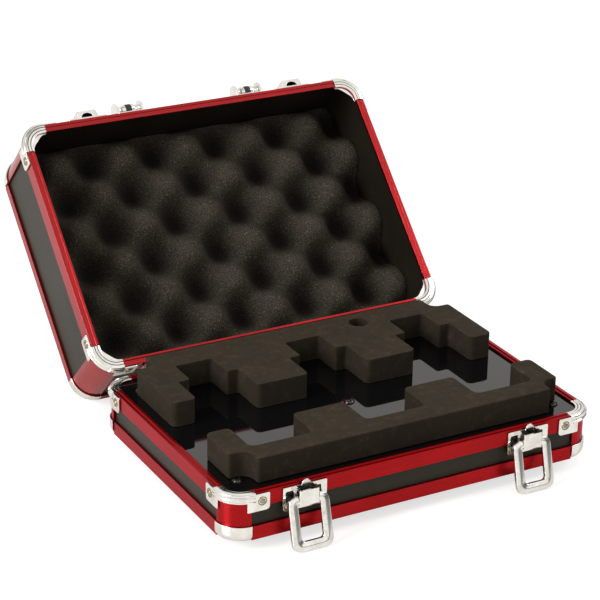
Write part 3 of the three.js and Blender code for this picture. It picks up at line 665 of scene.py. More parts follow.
# Outer line of the bracket's section, from the cover's inner edge down to the strip's lower edge
def bracketLine(offset):
    s = bracketSizes
    outer = bracketOut - offset
    line = [(r, z - offset) for r, z in coverLine()]
    for k in range(7):
        a = quarter * k / 6
        r = s["shoulder"] - offset
        line.append((outer + offset - s["shoulder"] + r * math.sin(a), -s["shoulder"] + r * math.cos(a)))
    count = 16
    for k in range(1, count + 1):
        z = -s["shoulder"] - (s["strip"] - s["shoulder"]) * k / count
        swell = 0
        for drop in s["ridges"]:
            near = abs(-z - drop) / s["ridgeWidth"] * 2
            swell += s["ridgeRise"] * (0.5 + 0.5 * math.cos(math.pi * near)) if near < 1 else 0
        line.append((outer + swell, z))
    return line


# Path along the corner: straight, quarter arc, straight
def cornerPath(straight, steps):
    path = [(Vector((0, -straight)), 0.0)]
    path += [(Vector((0, 0)), quarter * k / steps) for k in range(steps + 1)]
    path.append((Vector((-straight, 0)), quarter))
    return path


# Section run along the corner at a height
def addCornerRun(bm, section, height, turn):
    rings = []
    for centre, a in cornerPath(bracketSizes["straight"], bracketSizes["steps"]):
        rings.append([turn @ Vector((*(centre + arcPoint(r, a)), z + height)) for r, z in section])
    addLoft(bm, rings)


# Rim bracket: ridged strip with a rounded shoulder, two ears that wrap a little round the arc
def makeBracket(name, height, turn, place, body, gusset):
    s = bracketSizes
    bm, cover = bmesh.new(), bmesh.new()
    addCornerRun(cover, bracketLine(0) + list(reversed(bracketLine(s["cover"]))), height, turn)
    near, far = radius + seat, bracketOut
    wrap, lap = s["earWrap"], s["lap"] - s["strip"]
    for side in (-1, 1):
        outline = roundedOutline([
            (-wrap, lap, 0), (-wrap, -s["earDrop"], 0.6), (s["earReach"], -s["earDrop"], s["earCorner"]),
            (s["earReach"], -s["earTop"], 1.0), (0.5, -s["earTop"], 0), (0.5, lap, 0),
        ])
        ear = bmesh.new()
        addSlab(ear, outline, near, far)
        for k in range(6):
            cut = -wrap + wrap * (k + 1) / 6
            geometry = list(ear.verts) + list(ear.edges) + list(ear.faces)
            bmesh.ops.bisect_plane(ear, geom=geometry, plane_co=(cut, 0, 0), plane_no=(1, 0, 0))
        for vertex in ear.verts:
            along, z, depth = vertex.co
            flat = Vector((depth, -along)) if along > 0 else arcPoint(depth, -along / radius)
            if side > 0:
                flat = Vector((flat.y, flat.x))
            vertex.co = turn @ Vector((flat.x, flat.y, z + height))
        bmesh.ops.recalc_face_normals(ear, faces=ear.faces)
        mesh = bpy.data.meshes.new("ear")
        ear.to_mesh(mesh)
        ear.free()
        bm.from_mesh(mesh)
        bpy.data.meshes.remove(mesh)
    if gusset:
        ends, middle, outer, reach = s["web"]
        angles = [quarter * k / 12 for k in range(13)]
        outline = [Vector((ends + 0.3, -reach)), Vector((outer, -reach))]
        outline += [arcPoint(outer, a) for a in angles]
        outline += [Vector((-reach, outer)), Vector((-reach, ends + 0.3))]
        outline += [arcPoint(ends - (ends - middle) * math.sin(2 * a), a) for a in reversed(angles)]
        top = height - s["webDrop"]
        addSlab(bm, outline, top - s["webThick"], top, turn)
    makePiece(name + "_plate", bm, place, "chrome", body, [name], 0.12, 2)
    makePiece(name + "_cover", cover, place, "chrome", body, sharp=50)
    # Painted shade: dark strips laid in the bottom of the two cover grooves
    shadeLines = bmesh.new()
    half = s["grooveWide"] * 0.32
    for share in s["grooves"]:
        r, z = coverPoint(share, True)
        addCornerRun(shadeLines, boxOutline(r - half, z - 0.05, r + half, z + 0.1), height, turn)
    makePiece(name + "_seams", shadeLines, place, "darkSteel", body)


halves = {
    "base": {
        "height": case["baseHeight"], "edge": 8.7, "rim": 9.6, "lip": "tongue", "post": "baseRed",
        "postDrop": 4.6, "place": basePlace, "ySign": 1,
    },
    "lid": {
        "height": lidShellHeight, "edge": 6, "rim": 10.7, "lip": "groove", "post": "lidPostRed",
        "postDrop": 4.6, "place": lidPlace, "ySign": -1,
    },
}


def makeHalf(body, sizes):
    red, place, height = body + "Red", sizes["place"], sizes["height"]
    makeRim(body + "_rim_run", height, sizes["rim"], profile[sizes["lip"]], place, red, body)
    makeEdgeFrame(body + "_edge_frame_run", sizes["edge"], place, red, body)
    low, high = sizes["edge"] + seat, height - sizes["postDrop"]
    for label, turn in cornersOf(sizes["ySign"]):
        makePost(f"{body}_post_{label}", low, high, turn, place, sizes["post"], body)
        makeBallCorner(f"{body}_ball_corner_{label}", turn, place, body)
        makeBracket(f"{body}_bracket_{label}", height, turn, place, body, body == "lid")
    for part in ("walls", "panel"):
        giveFinish(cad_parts[f"{body}_{part}"].data, "board")


for body, sizes in halves.items():
    makeHalf(body, sizes)
print("base and lid shells built")


# Draw latches: X across, Z up from the base's lower edge, -Y out from its front face
latch = {
    "x": 76.4, "plateHalf": 14.25, "plateLow": 14, "plateHigh": 29, "plate": (0.3, 1.3), "plateCorner": 2,
    "windows": ((-12.6, -7.3), (7.3, 10.4)), "windowLow": 19.4, "windowHigh": 26.4,
    "housingHalf": 6.5, "housingLow": 18.6, "housingHigh": 28.2, "front": 7.6, "wall": 1.2, "chamfer": 0.9,
    "hookHalf": 3, "hookLow": 20.3, "hookHigh": 32.7, "hook": (1.6, 2.8), "rivets": (11.4, 16.8),
    "pivotUp": 21.3, "pivotOut": 4.9, "tilt": math.radians(15), "foot": 0.4,
}
bailSizes = {
    "half": 13.3, "leg": 6.1, "top": 2.4, "crossbar": 5.8, "length": 30.2, "outer": 6, "inner": 2.6,
    "innerTop": 1.2, "gap": 6.8, "stub": 1.3, "stubEnd": 4.4, "thickness": 3.5, "slope": 0.6, "ridge": 0.5,
    "shoulder": 0.9, "back": 1.0,
}


def makeLatchBase(name, place):
    s = latch
    half, side, wall = s["plateHalf"], s["housingHalf"], s["wall"]
    low, high = s["windowLow"], s["windowHigh"]
    # Painted shade: a dark sheet just behind each window, where the cavity would only be in shade
    shadeSheet, windows = bmesh.new(), []
    for near, far in s["windows"]:
        windows.append(list(reversed(boxOutline(near, low, far, high, 1, 1, 3))))
        addUpright(shadeSheet, boxOutline(near, low, far, high), s["plate"][0] + 0.02, s["plate"][0] + 0.3)
    makePiece(name + "_pan", shadeSheet, place, "darkSteel", "base")
    bm = bmesh.new()
    plate = boxOutline(-half, s["plateLow"], half, s["plateHigh"], s["plateCorner"], 1)
    addUpright(bm, plate, *s["plate"], holes=windows)
    front, chamfer, foot = s["front"], s["chamfer"], s["foot"]
    channel = [
        (-side, foot), (-side, front - chamfer), (-side + chamfer, front), (side - chamfer, front),
        (side, front - chamfer), (side, foot), (side - wall, foot), (side - wall, front - wall),
        (wall - side, front - wall), (wall - side, foot),
    ]
    inside = side - wall + 0.1
    floor = [(-inside, foot), (-inside, front - 0.5), (inside, front - 0.5), (inside, foot)]
    flip = Matrix.Scale(-1, 4, (0, 1, 0))
    addSlab(bm, channel, s["housingLow"], s["housingHigh"], flip)
    addSlab(bm, floor, s["housingLow"] + 0.2, s["housingLow"] + 1.2, flip)
    makePiece(name + "_case", bm, place, "chrome", "base", [name], 0.35, 3)


def makeLatchHook(name, place, body):
    s = latch
    half = s["hookHalf"]
    outline = [Vector((-half, s["hookLow"])), Vector((half, s["hookLow"]))]
    middle = Vector((0, s["hookHigh"] - half))
    outline += [middle + arcPoint(half, math.pi * k / 12) for k in range(13)]
    bm = bmesh.new()
    addUpright(bm, outline, *s["hook"])
    makePiece(name + "_nose", bm, place, "chrome", body, [name], 0.45, 3)


# Points round a corner of a path, by its rounding
def cornerPoints(before, corner, after, size):
    start = corner + (before - corner).normalized() * size
    end = corner + (after - corner).normalized() * size
    return bendPoints(start, corner, end, 8)


# Open path through corners, with a rounding for each corner between its ends
def pathPoints(corners, sizes):
    points = [corners[0]]
    for i, size in enumerate(sizes, 1):
        points += cornerPoints(corners[i - 1], corners[i], corners[i + 1], size)
    return points + [corners[-1]]


# Section across a flat loop: a ridged front, softened edges, a flat back
def bandSection(inner, outer):
    s = bailSizes
    middle, across = (inner + outer) / 2, (outer - inner).normalized()
    half, thick, slope = (outer - inner).length / 2, s["thickness"] / 2, s["slope"]
    outline = roundedOutline([
        (half, thick, s["back"]), (-half, thick, s["back"]), (-half, slope - thick, s["shoulder"]),
        (0, -thick, s["ridge"]), (half, slope - thick, s["shoulder"]),
    ], 4)
    ring = []
    for u, v in outline:
        point = middle + across * u
        ring.append(Vector((point.x, v, point.y)))
    return ring


def makeBail(name, place, body):
    s = bailSizes

    def loop(half, top, low, sizes):
        ends = ((-s["gap"], top), (-half, top), (-half, low), (half, low), (half, top), (s["gap"], top))
        return pathPoints([Vector(end) for end in ends], sizes)

    outer = loop(s["half"], s["top"], -s["length"], [s["outer"]] * 4)
    roundings = (s["innerTop"], s["inner"], s["inner"], s["innerTop"])
    core = loop(s["half"] - s["leg"], -s["top"], s["crossbar"] - s["length"], roundings)
    bm = bmesh.new()
    addLoft(bm, [bandSection(a, b) for a, b in zip(core, outer)])
    for side in (-1, 1):
        ends = sorted((side * s["stubEnd"], side * (s["gap"] + 1)))
        addRod(bm, s["stub"], *ends, soft=0.2, steps=20)
    makePiece(name + "_loop", bm, place, "chrome", body, [name], 0, 2, 50)


for side, sign in (("left", -1), ("right", 1)):
    front = baseFrontPlace @ Matrix.Translation((sign * latch["x"], 0, 0))
    makeLatchBase(f"latch_base_{side}", front)
    makeLatchHook(f"latch_hook_{side}", front, f"hook_{side}")
    pivot = front @ Matrix.Translation((0, -latch["pivotOut"], latch["pivotUp"]))
    makeBail(f"latch_bail_{side}", pivot @ Matrix.Rotation(-latch["tilt"], 4, "X"), f"bail_{side}")
print("latches built")


# Strikes and handle brackets: Z up from the closed lid's rim, -Y out from its front face
strikeSizes = {
    "plateHalf": 13.5, "plateLow": 1.2, "plateHigh": 13, "plate": (0.3, 1.3), "corner": 2,
    "hoodBase": 8.4, "hoodTip": 6.6, "front": 6.2, "low": 1.6, "high": 11.4, "wall": 1.1,
    "mouth": (4.0, 1.4, 3.1), "rivets": (11, 9),
}


def makeStrike(name, place):
    s = strikeSizes
    half = s["plateHalf"]
    bm = bmesh.new()
    addUpright(bm, boxOutline(-half, s["plateLow"], half, s["plateHigh"], 1, s["corner"]), *s["plate"])

    def hood(trim, back, low, high):
        outline = roundedOutline([
            (-s["hoodBase"] + trim, -back, 0), (s["hoodBase"] - trim, -back, 0),
            (s["hoodTip"] - trim, trim - s["front"], 1), (trim - s["hoodTip"], trim - s["front"], 1),
        ])
        return [[Vector((p.x, p.y, z)) for p in outline] for z in (low, high)]

    outer = hood(0, 0.4, s["low"], s["high"])
    inner = hood(s["wall"], s["plate"][1], s["low"], s["high"] - s["wall"])
    addLoft(bm, [inner[1], inner[0], outer[0], outer[1]])
    wide, base, tall = s["mouth"]
    turns = [math.pi * k / 14 for k in range(15)]
    mouth = [Vector((wide * math.cos(a), -base - tall * math.sin(a))) for a in turns]
    ends = [Vector((p.x, p.y)) for p in hood(0.3, 0.6, 0, 0)[0]]
    addSlab(bm, ends, s["low"] + 0.1, s["low"] + 0.9, holes=[mouth])
    makePiece(name + "_hood", bm, place, "chrome", "lid", [name], 0.3, 3)
    # Painted shade: a dark sheet inside the hood, where its hollow is only in shade
    shadeLining = bmesh.new()
    near, far = s["wall"] + 0.02, s["wall"] + 0.22
    outer = hood(near, s["plate"][1] + 0.02, s["low"] + 1.0, s["high"] - near)
    inner = hood(far, s["plate"][1] + 0.22, s["low"] + 1.0, s["high"] - far)
    addLoft(shadeLining, [inner[1], inner[0], outer[0], outer[1]])
    makePiece(name + "_lining", shadeLining, place, "grip", "lid")


handleSizes = {
    "x": 44.5, "up": 8.5, "out": 5.2, "bracketHalf": 9.8, "low": 2, "high": 15, "plate": (0.3, 1.3),
    "ear": 1.7, "earRadius": 5.2, "pin": 1.6, "boss": 2.8, "bossStart": 5.3, "rivets": (5, 12.6),
    "bore": 1.75, "eye": 3.6, "eyeHalf": 4.6, "wrap": 3.75, "wrapHalf": 2.3,
    "reach": 27, "armStart": 3.0, "armWidth": 6.4, "armThick": 5, "bend": 12,
    "gripLength": 58, "gripWidth": 12, "gripThick": 8.4, "gripEdge": 3.2, "grooves": 4, "groovePitch": 11,
    "grooveRadius": 6, "grooveDepth": 1.3,
}


def makeHandleBracket(name, place):
    s = handleSizes
    half = s["bracketHalf"]
    bm = bmesh.new()
    addUpright(bm, boxOutline(-half, s["low"], half, s["high"], 2, 2), *s["plate"])
    middle, size = Vector((s["out"], 0)), s["earRadius"]
    ear = [Vector((0.8, -size)), Vector((0.8, size))]
    ear += [middle + arcPoint(size, quarter - math.pi * k / 14) for k in range(15)]
    wall = Matrix(((0, 0, 1, 0), (-1, 0, 0, 0), (0, 1, 0, s["up"]), (0, 0, 0, 1)))
    pinPlace = Matrix.Translation((0, -s["out"], s["up"]))
    addRod(bm, s["pin"], -half + 0.4, half - 0.4, pinPlace, steps=20)
    for side in (-1, 1):
        inside = half - s["ear"]
        addSlab(bm, ear, *sorted((side * half, side * inside)), wall)
        addRod(bm, s["boss"], *sorted((side * s["bossStart"], side * (inside + 0.2))), pinPlace, soft=0.8)
    makePiece(name + "_yoke", bm, place, "chrome", "lid", [name], 0.3, 3)


# Handle round its pivot line, standing straight up: two arms, a grooved grip, bored eyes
def makeHandle(name, place):
    s = handleSizes
    x, z, bend = s["x"], s["reach"], s["bend"]
    flat = lambda a, b: Vector((a, 0, b))
    path = [flat(-x, s["armStart"])] + bendPoints(flat(-x, z - bend), flat(-x, z), flat(bend - x, z), 10)
    path += bendPoints(flat(x - bend, z), flat(x, z), flat(x, z - bend), 10) + [flat(x, s["armStart"])]
    bm = bmesh.new()
    outline = boxOutline(-1, -1, 1, 1, 0.7, 0.7, 4)
    wide, thick = s["armWidth"] / 2, s["armThick"] / 2
    rings = []
    for i, point in enumerate(path):
        ahead = path[min(i + 1, len(path) - 1)] - path[max(i - 1, 0)]
        ahead.normalize()
        side = Vector((ahead.z, 0, -ahead.x))
        rings.append([point + side * (p.x * wide) + Vector((0, p.y * thick, 0)) for p in outline])
    addLoft(bm, rings)
    rings = []
    count = 72
    for k in range(count + 1):
        along = s["gripLength"] * (k / count - 0.5)
        end = max(0.0, abs(along) - s["gripLength"] / 2 + 1.5) / 1.5
        shrink = 1.2 * (1 - math.sqrt(max(0.0, 1 - end * end)))
        dip = 0.0
        for i in range(s["grooves"]):
            centre = s["groovePitch"] * (i - (s["grooves"] - 1) / 2)
            reach = s["grooveRadius"] ** 2 - (along - centre) ** 2
            if reach > 0:
                dip = max(dip, math.sqrt(reach) - s["grooveRadius"] + s["grooveDepth"])
        high, thick = s["gripWidth"] / 2 - shrink, s["gripThick"] / 2 - shrink
        outline = boxOutline(dip - high, -thick, high, thick, s["gripEdge"], s["gripEdge"], 5)
        rings.append([Vector((along, p.y, z + p.x)) for p in outline])
    addLoft(bm, rings)
    for side in (-1, 1):
        addRod(bm, s["wrap"], side * x - s["wrapHalf"], side * x + s["wrapHalf"], bore=s["bore"], soft=0.4)
    makePiece(name + "_grip", bm, place, "grip", "handle", [name], 0, 2, 40)
    eyes = bmesh.new()
    for side in (-1, 1):
        addRod(eyes, s["eye"], side * x - s["eyeHalf"], side * x + s["eyeHalf"], bore=s["bore"], soft=0.5)
    makePiece(name + "_eyes", eyes, place, "chrome", "handle")


for side, sign in (("left", -1), ("right", 1)):
    makeStrike(f"strike_{side}", lidFrontPlace @ Matrix.Translation((sign * latch["x"], 0, 0)))
    yokePlace = lidFrontPlace @ Matrix.Translation((sign * handleSizes["x"], 0, 0))
    makeHandleBracket(f"handle_bracket_{side}", yokePlace)
makeHandle("handle", lidFrontPlace @ Matrix.Translation((0, -handleSizes["out"], handleSizes["up"])))
print("lid hardware built")


# Piano hinge: two leaves with alternate knuckles round a pin
hinge = {
    "half": 94.5, "knuckles": 11, "gap": 0.35, "barrel": 2.5, "pin": 1.2, "bore": 1.3, "leaf": 0.8,
    "clear": 0.4, "baseReach": 10.4, "lidReach": 8.8,
    "screwSpread": 0.93, "baseScrews": 6.7, "lidScrews": 5.9,
}


def makeLeaf(name, up, first, reach, place, body):
    s = hinge
    pitch, back = 2 * s["half"] / s["knuckles"], seat - case["hingeBehind"]
    near = s["barrel"] + s["clear"]
    bm = bmesh.new()
    edge = up * near
    outline = boxOutline(-s["half"], edge, s["half"], up * reach, 0, 1.5)
    addUpright(bm, outline, -back - s["leaf"], -back)
    for i in range(first, s["knuckles"], 2):
        start = i * pitch - s["half"] + s["gap"] / 2
        end = start + pitch - s["gap"]
        addRod(bm, s["barrel"], start, end, bore=s["bore"], soft=0.2)
        addUpright(bm, boxOutline(start, 0.3 * up, end, edge + 0.2 * up), -back - s["leaf"], -back)
    makePiece(name + "_strip", bm, place, "steel", body, [name], 0.15, 2)


makeLeaf("hinge_base_leaf", -1, 0, hinge["baseReach"], hingePlace, "base")
makeLeaf("hinge_lid_leaf", 1, 1, hinge["lidReach"], lidTurn, "lid")
pinMesh = bmesh.new()
addRod(pinMesh, hinge["pin"], -hinge["half"], hinge["half"], steps=16, soft=0.35)
makePiece("hinge_pin_rod", pinMesh, hingePlace, "steel", "base", ["hinge_pin"])
print("hinge built")


# Rubber feet with a sunk washer and a rounded rim
feet = {
    "side": 30, "front": 28, "sunk": 2.2, "top": 9.8,
    "rim": [(3.1, 0.4), (3.6, 0.0), (5.6, 0.0), (6.1, 0.35), (6.7, 3.0)],
}
footX, footY = halfWidth - feet["side"], halfDepth - feet["front"]
footSection = [(0, feet["sunk"]), (2.8, feet["sunk"]), *feet["rim"], (7.0, feet["top"]), (0, feet["top"])]
for xSign, xName in ((-1, "left"), (1, "right")):
    for ySign, yName in ((-1, "front"), (1, "back")):
        bm = bmesh.new()
        addTurned(bm, footSection, steps=40, place=Matrix.Translation((xSign * footX, ySign * footY, 0)))
        makePiece(f"foot_{yName}_{xName}_rubber", bm, floorPlace, "rubber", "base", [f"foot_{yName}_{xName}"])
print("feet built")


# Tray: the board keeps its own solid
giveFinish(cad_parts["tray_board"].data, "tray")

# Cut foam blocks: outlines with rounded tips, fillets and corner bites
foam = {
    "low": 28.8, "high": 45.0, "half": 113, "front": -75.3, "barBack": -59.9, "lugBack": -33.1,
    "pitch": 76.7, "pocket": 41.4, "finger": 10.2, "step": 35.9, "socket": 25.2, "socketBack": 57.1,
    "back": 77.3,
    "bite": 12.6, "frontBite": 12, "backBite": 14.6, "tip": 4, "fillet": 5, "biteRadius": 8, "edge": 2,
    "hole": (45.3, 63.7, 6.5),
}


def frontFoamOutline():
    s = foam
    biteX, biteY, half = s["half"] - s["bite"], s["front"] + s["frontBite"], s["half"]
    corners = [
        (-biteX, s["front"], s["edge"]), (biteX, s["front"], s["edge"]), (biteX, biteY, s["biteRadius"]),
        (half, biteY, s["edge"]), (half, s["lugBack"], s["tip"]),
    ]
    for k in (1, 0, -1):
        right, left = k * s["pitch"] + s["pocket"] / 2, k * s["pitch"] - s["pocket"] / 2
        corners += [(right, s["lugBack"], s["tip"]), (right, s["barBack"], s["fillet"])]
        corners += [(left, s["barBack"], s["fillet"]), (left, s["lugBack"], s["tip"])]
    corners += [(-half, s["lugBack"], s["tip"]), (-half, biteY, s["edge"]), (-biteX, biteY, s["biteRadius"])]
    return roundedOutline(corners, 8)


def backFoamOutline():
    s = foam
    biteX, biteY, half = s["half"] - s["bite"], s["back"] - s["backBite"], s["half"]
    corners = [(-half, s["finger"], s["tip"])]
    for k in (-1, 0, 1):
        centre, wide, narrow = k * s["pitch"], s["pocket"] / 2, s["socket"] / 2
        corners += [(centre - wide, s["finger"], s["tip"]), (centre - wide, s["step"], s["edge"])]
        corners += [(centre - narrow, s["step"], s["edge"]), (centre - narrow, s["socketBack"], s["edge"])]
        corners += [(centre + narrow, s["socketBack"], s["edge"]), (centre + narrow, s["step"], s["edge"])]
        corners += [(centre + wide, s["step"], s["edge"]), (centre + wide, s["finger"], s["tip"])]
    corners += [(half, s["finger"], s["tip"]), (half, biteY, s["edge"]), (biteX, biteY, s["biteRadius"])]
    corners += [(biteX, s["back"], s["edge"]), (-biteX, s["back"], s["edge"])]
    corners += [(-biteX, biteY, s["biteRadius"]), (-half, biteY, s["edge"])]
    return roundedOutline(corners, 8)


def makeCutFoam(name, outline, holes=()):
    bm = bmesh.new()
    addSlab(bm, outline, foam["low"], foam["high"], holes=holes)
    piece = makePiece(name + "_block", bm, basePlace, "cutFoam", "base", [name], 0.7, 3)


holeX, holeY, holeRadius = foam["hole"]
makeCutFoam("front_foam", frontFoamOutline())
makeCutFoam("back_foam", backFoamOutline(), [list(reversed(circle(holeRadius, 28, (holeX, holeY))))])
print("cut foam built")


# Geometry nodes: a tree with named inputs, and a tool that bakes it to a mesh
def newTree(name, inputs):
    tree = bpy.data.node_groups.new(name, "GeometryNodeTree")
    tree.interface.new_socket("Geometry", in_out="INPUT", socket_type="NodeSocketGeometry")
    tree.interface.new_socket("Geometry", in_out="OUTPUT", socket_type="NodeSocketGeometry")
    for key, value in inputs.items():
        kind = "NodeSocketInt" if isinstance(value, int) else "NodeSocketFloat"
        tree.interface.new_socket(key, in_out="INPUT", socket_type=kind).default_value = value
    bench = Bench(tree)
    entry = tree.nodes.new("NodeGroupInput")
    given = {socket.name: Wire(bench, socket) for socket in entry.outputs if socket.name}
    return tree, bench, given


def endTree(bench, geometry, finish):
    whole = bench.node("GeometryNodeRealizeInstances", None, {0: geometry})
    done = bench.node("GeometryNodeSetMaterial", None, {"Geometry": whole, "Material": finishes[finish]})
    last = bench.tree.nodes.new("NodeGroupOutput")
    bench.tree.links.new(done.socket, last.inputs[0])


def bakeTree(name, carrier, tree, values):
    holder = bpy.data.objects.new(name + "Carrier", carrier)
    scene.collection.objects.link(holder)
    modifier = holder.modifiers.new("build", "NODES")
    modifier.node_group = tree
    for item in tree.interface.items_tree:
        if item.item_type == "SOCKET" and item.in_out == "INPUT" and item.name in values:
            modifier[item.identifier] = values[item.name]
    depsgraph = bpy.context.evaluated_depsgraph_get()
    evaluated = holder.evaluated_get(depsgraph)
    mesh = bpy.data.meshes.new_from_object(evaluated, depsgraph=depsgraph)
    mesh.name = name
    holder.modifiers.remove(modifier)
    bpy.data.objects.remove(holder)
    return mesh


# Egg-crate foam: staggered rows of rounded peaks on a slab with rounded corners
crate = {
    "width": 241.0, "depth": 164.0, "corner": 10.5, "floor": 4.7, "valley": 8.0, "peak": 27.0,
    "pitch": 47.1, "row": 25.1, "peakX": -0.5, "peakFromBack": 55.0, "columns": 242, "rows": 165,
    "ripple": 0.9, "rippleScale": 0.09, "pore": 0.35, "poreScale": 0.9, "sharpen": 0.85, "plainShare": 0.45,
}


def crateTree():
    tree, bench, given = newTree("eggCrate", crate)
    size = bench.node("ShaderNodeCombineXYZ", None, {0: given["width"], 1: given["depth"], 2: 1.0})
    counts = {"Size": size, "Vertices X": given["columns"], "Vertices Y": given["rows"], "Vertices Z": 2}
    slab = bench.node("GeometryNodeMeshCube", None, counts)
    place = bench.node("GeometryNodeInputPosition")
    x, y, z = bench.split(place)
    coreX = given["width"] / 2 - given["corner"]
    coreY = given["depth"] / 2 - given["corner"]
    overX = (abs(x) - coreX).larger(0)
    overY = (abs(y) - coreY).larger(0)
    reach = (overX * overX + overY * overY) ** 0.5
    ease = overX.larger(overY) / reach.larger(0.001)
    signX, signY = x.maths("SIGN", x), y.maths("SIGN", y)
    flatX = signX * (abs(x).smaller(coreX) + overX * ease)
    flatY = signY * (abs(y).smaller(coreY) + overY * ease)
    across = ((flatX - given["peakX"]) / given["pitch"] * (2 * math.pi)).cos()
    fromBack = flatY + halfDepth
    along = ((fromBack - given["peakFromBack"]) / given["row"] * math.pi).cos()
    wave = ((across * along + 1) / 2) ** given["sharpen"]
    share = wave * given["plainShare"] + wave * wave * (3 - 2 * wave) * (1 - given["plainShare"])
    plane = bench.node("ShaderNodeCombineXYZ", None, {0: flatX, 1: flatY, 2: 0.0})
    ripple = (bench.noise(plane, given["rippleScale"], 3) - 0.5) * given["ripple"]
    pores = (bench.noise(plane, given["poreScale"], 2) - 0.5) * given["pore"]
    height = given["floor"] + given["valley"] + (given["peak"] - given["valley"]) * share + ripple + pores
    top = z > 0
    level = top * height + (1 - top) * given["floor"]
    target = bench.node("ShaderNodeCombineXYZ", None, {0: flatX, 1: flatY, 2: level})
    moved = bench.node("GeometryNodeSetPosition", None, {"Geometry": slab, "Position": target})
    endTree(bench, moved, "crateFoam")
    return tree


crateMesh = bakeTree("lid_crate_foam_pad", bpy.data.meshes.new("crateCarrier"), crateTree(), crate)
crateMesh.transform(Matrix.Scale(mm, 4) @ lidPlace)
cratePad = dressMesh("lid_crate_foam_pad", crateMesh, "crateFoam", "lid", ["lid_crate_foam"], sharp=60)
print("egg-crate foam built:", len(crateMesh.polygons), "faces")


# Screws and rivets: heads set on the points of a carrier, each facing its own way
screwSizes = {"headRadius": 3.4, "headRise": 1.9, "slotLength": 4.2, "slotWidth": 0.95, "slotDepth": 1.1}
rivetSizes = {"headRadius": 1.7, "headRise": 0.8, "ringRadius": 2.5, "ringWire": 0.4}


# Flattened dome: a ball scaled down in height
def domeNode(bench, radiusWire, rise, segments, rings):
    ball = bench.node("GeometryNodeMeshUVSphere", None, {"Segments": segments, "Rings": rings, "Radius": 1.0})
    size = bench.node("ShaderNodeCombineXYZ", None, {0: radiusWire, 1: radiusWire, 2: rise})
    return bench.node("GeometryNodeTransform", None, {"Geometry": ball, "Scale": size})


def setOnPoints(bench, given, head):
    facing = bench.node("GeometryNodeInputNamedAttribute", {"data_type": "FLOAT_VECTOR"}, {"Name": "facing"})
    turn = bench.node("GeometryNodeInputNamedAttribute", {"data_type": "FLOAT"}, {"Name": "turn"})
    aligned = bench.node("FunctionNodeAlignRotationToVector", {"axis": "Z"}, {"Vector": facing})
    spin = bench.node("FunctionNodeAxisAngleToRotation", None, {"Axis": (0, 0, 1), "Angle": turn})
    turned = bench.node("FunctionNodeRotateRotation", {"rotation_space": "LOCAL"}, {0: aligned, 1: spin})
    points = {"Points": given["Geometry"], "Instance": head, "Rotation": turned}
    return bench.node("GeometryNodeInstanceOnPoints", None, points)


def screwTree():
    tree, bench, given = newTree("crossScrew", screwSizes)
    head = domeNode(bench, given["headRadius"], given["headRise"], 28, 14)
    cutters = []
    for turned in (False, True):
        ends = {0: given["slotLength"], 1: given["slotWidth"]}
        if turned:
            ends = {0: given["slotWidth"], 1: given["slotLength"]}
        size = bench.node("ShaderNodeCombineXYZ", None, {**ends, 2: given["slotDepth"] * 2})
        bar = bench.node("GeometryNodeMeshCube", None, {"Size": size})
        lift = bench.node("ShaderNodeCombineXYZ", None, {0: 0.0, 1: 0.0, 2: given["headRise"]})
        cutters.append(bench.node("GeometryNodeTransform", None, {"Geometry": bar, "Translation": lift}))
    for cutter in cutters:
        both = {"Mesh 1": head, "Mesh 2": cutter}
        head = bench.node("GeometryNodeMeshBoolean", {"operation": "DIFFERENCE"}, both)
    endTree(bench, setOnPoints(bench, given, head), "steel")
    return tree


def rivetTree():
    tree, bench, given = newTree("domeRivet", rivetSizes)
    dome = domeNode(bench, given["headRadius"], given["headRise"], 20, 10)

    def circleNode(count, size):
        inputs = {"Resolution": count, "Radius": size}
        return bench.node("GeometryNodeCurvePrimitiveCircle", {"mode": "RADIUS"}, inputs)

    curves = {"Curve": circleNode(24, given["ringRadius"]), "Profile Curve": circleNode(8, given["ringWire"])}
    ring = bench.node("GeometryNodeCurveToMesh", None, curves)
    both = bench.tree.nodes.new("GeometryNodeJoinGeometry")
    for part in (ring, dome):
        bench.tree.links.new(part.socket, both.inputs[0])
    endTree(bench, setOnPoints(bench, given, Wire(bench, both.outputs[0])), "rivet")
    return tree


# Carrier points from (place, point, facing, turn)
def carrierOf(name, spots):
    mesh = bpy.data.meshes.new(name)
    mesh.from_pydata([tuple(place @ Vector(point)) for place, point, facing, turn in spots], [], [])
    mesh.attributes.new("facing", "FLOAT_VECTOR", "POINT")
    mesh.attributes.new("turn", "FLOAT", "POINT")
    facing, turning = mesh.attributes["facing"], mesh.attributes["turn"]
    for i, (place, point, way, turn) in enumerate(spots):
        facing.data[i].vector = place.to_3x3() @ Vector(way)
        turning.data[i].value = turn
    return mesh


def setFasteners(name, tree, sizes, spots, finish, body):
    mesh = bakeTree(name, carrierOf(name + "Points", spots), tree, sizes)
    mesh.transform(Matrix.Scale(mm, 4))
    dressMesh(name, mesh, finish, body, sharp=45)


def turned(i):
    return (i * 2.399) % math.pi


tray = {"middle": (-1, -6), "screwX": 108.7, "screwY": 65.8, "drop": 1.5}
pairs = [(x, y) for x in (-1, 1) for y in (-1, 1)]
traySpots = [tray["middle"]] + [(x * tray["screwX"], y * tray["screwY"]) for x, y in pairs]
trayTop = case["baseHeight"] - tray["drop"]
trayScrews = [(basePlace, (x, y, trayTop), (0, 0, 1), turned(i)) for i, (x, y) in enumerate(traySpots)]
crossTree, domeTree = screwTree(), rivetTree()
setFasteners("tray_screws", crossTree, screwSizes, trayScrews, "darkSteel", "base")

# Small flat screws along both hinge leaves, and one in each foot
leafScrews = {"headRadius": 2.1, "headRise": 0.7, "slotLength": 2.6, "slotWidth": 0.6, "slotDepth": 0.5}
leafX = [hinge["half"] * (k / 3.5 - 1) * hinge["screwSpread"] for k in range(8)]
leafBack = seat - case["hingeBehind"] + hinge["leaf"]


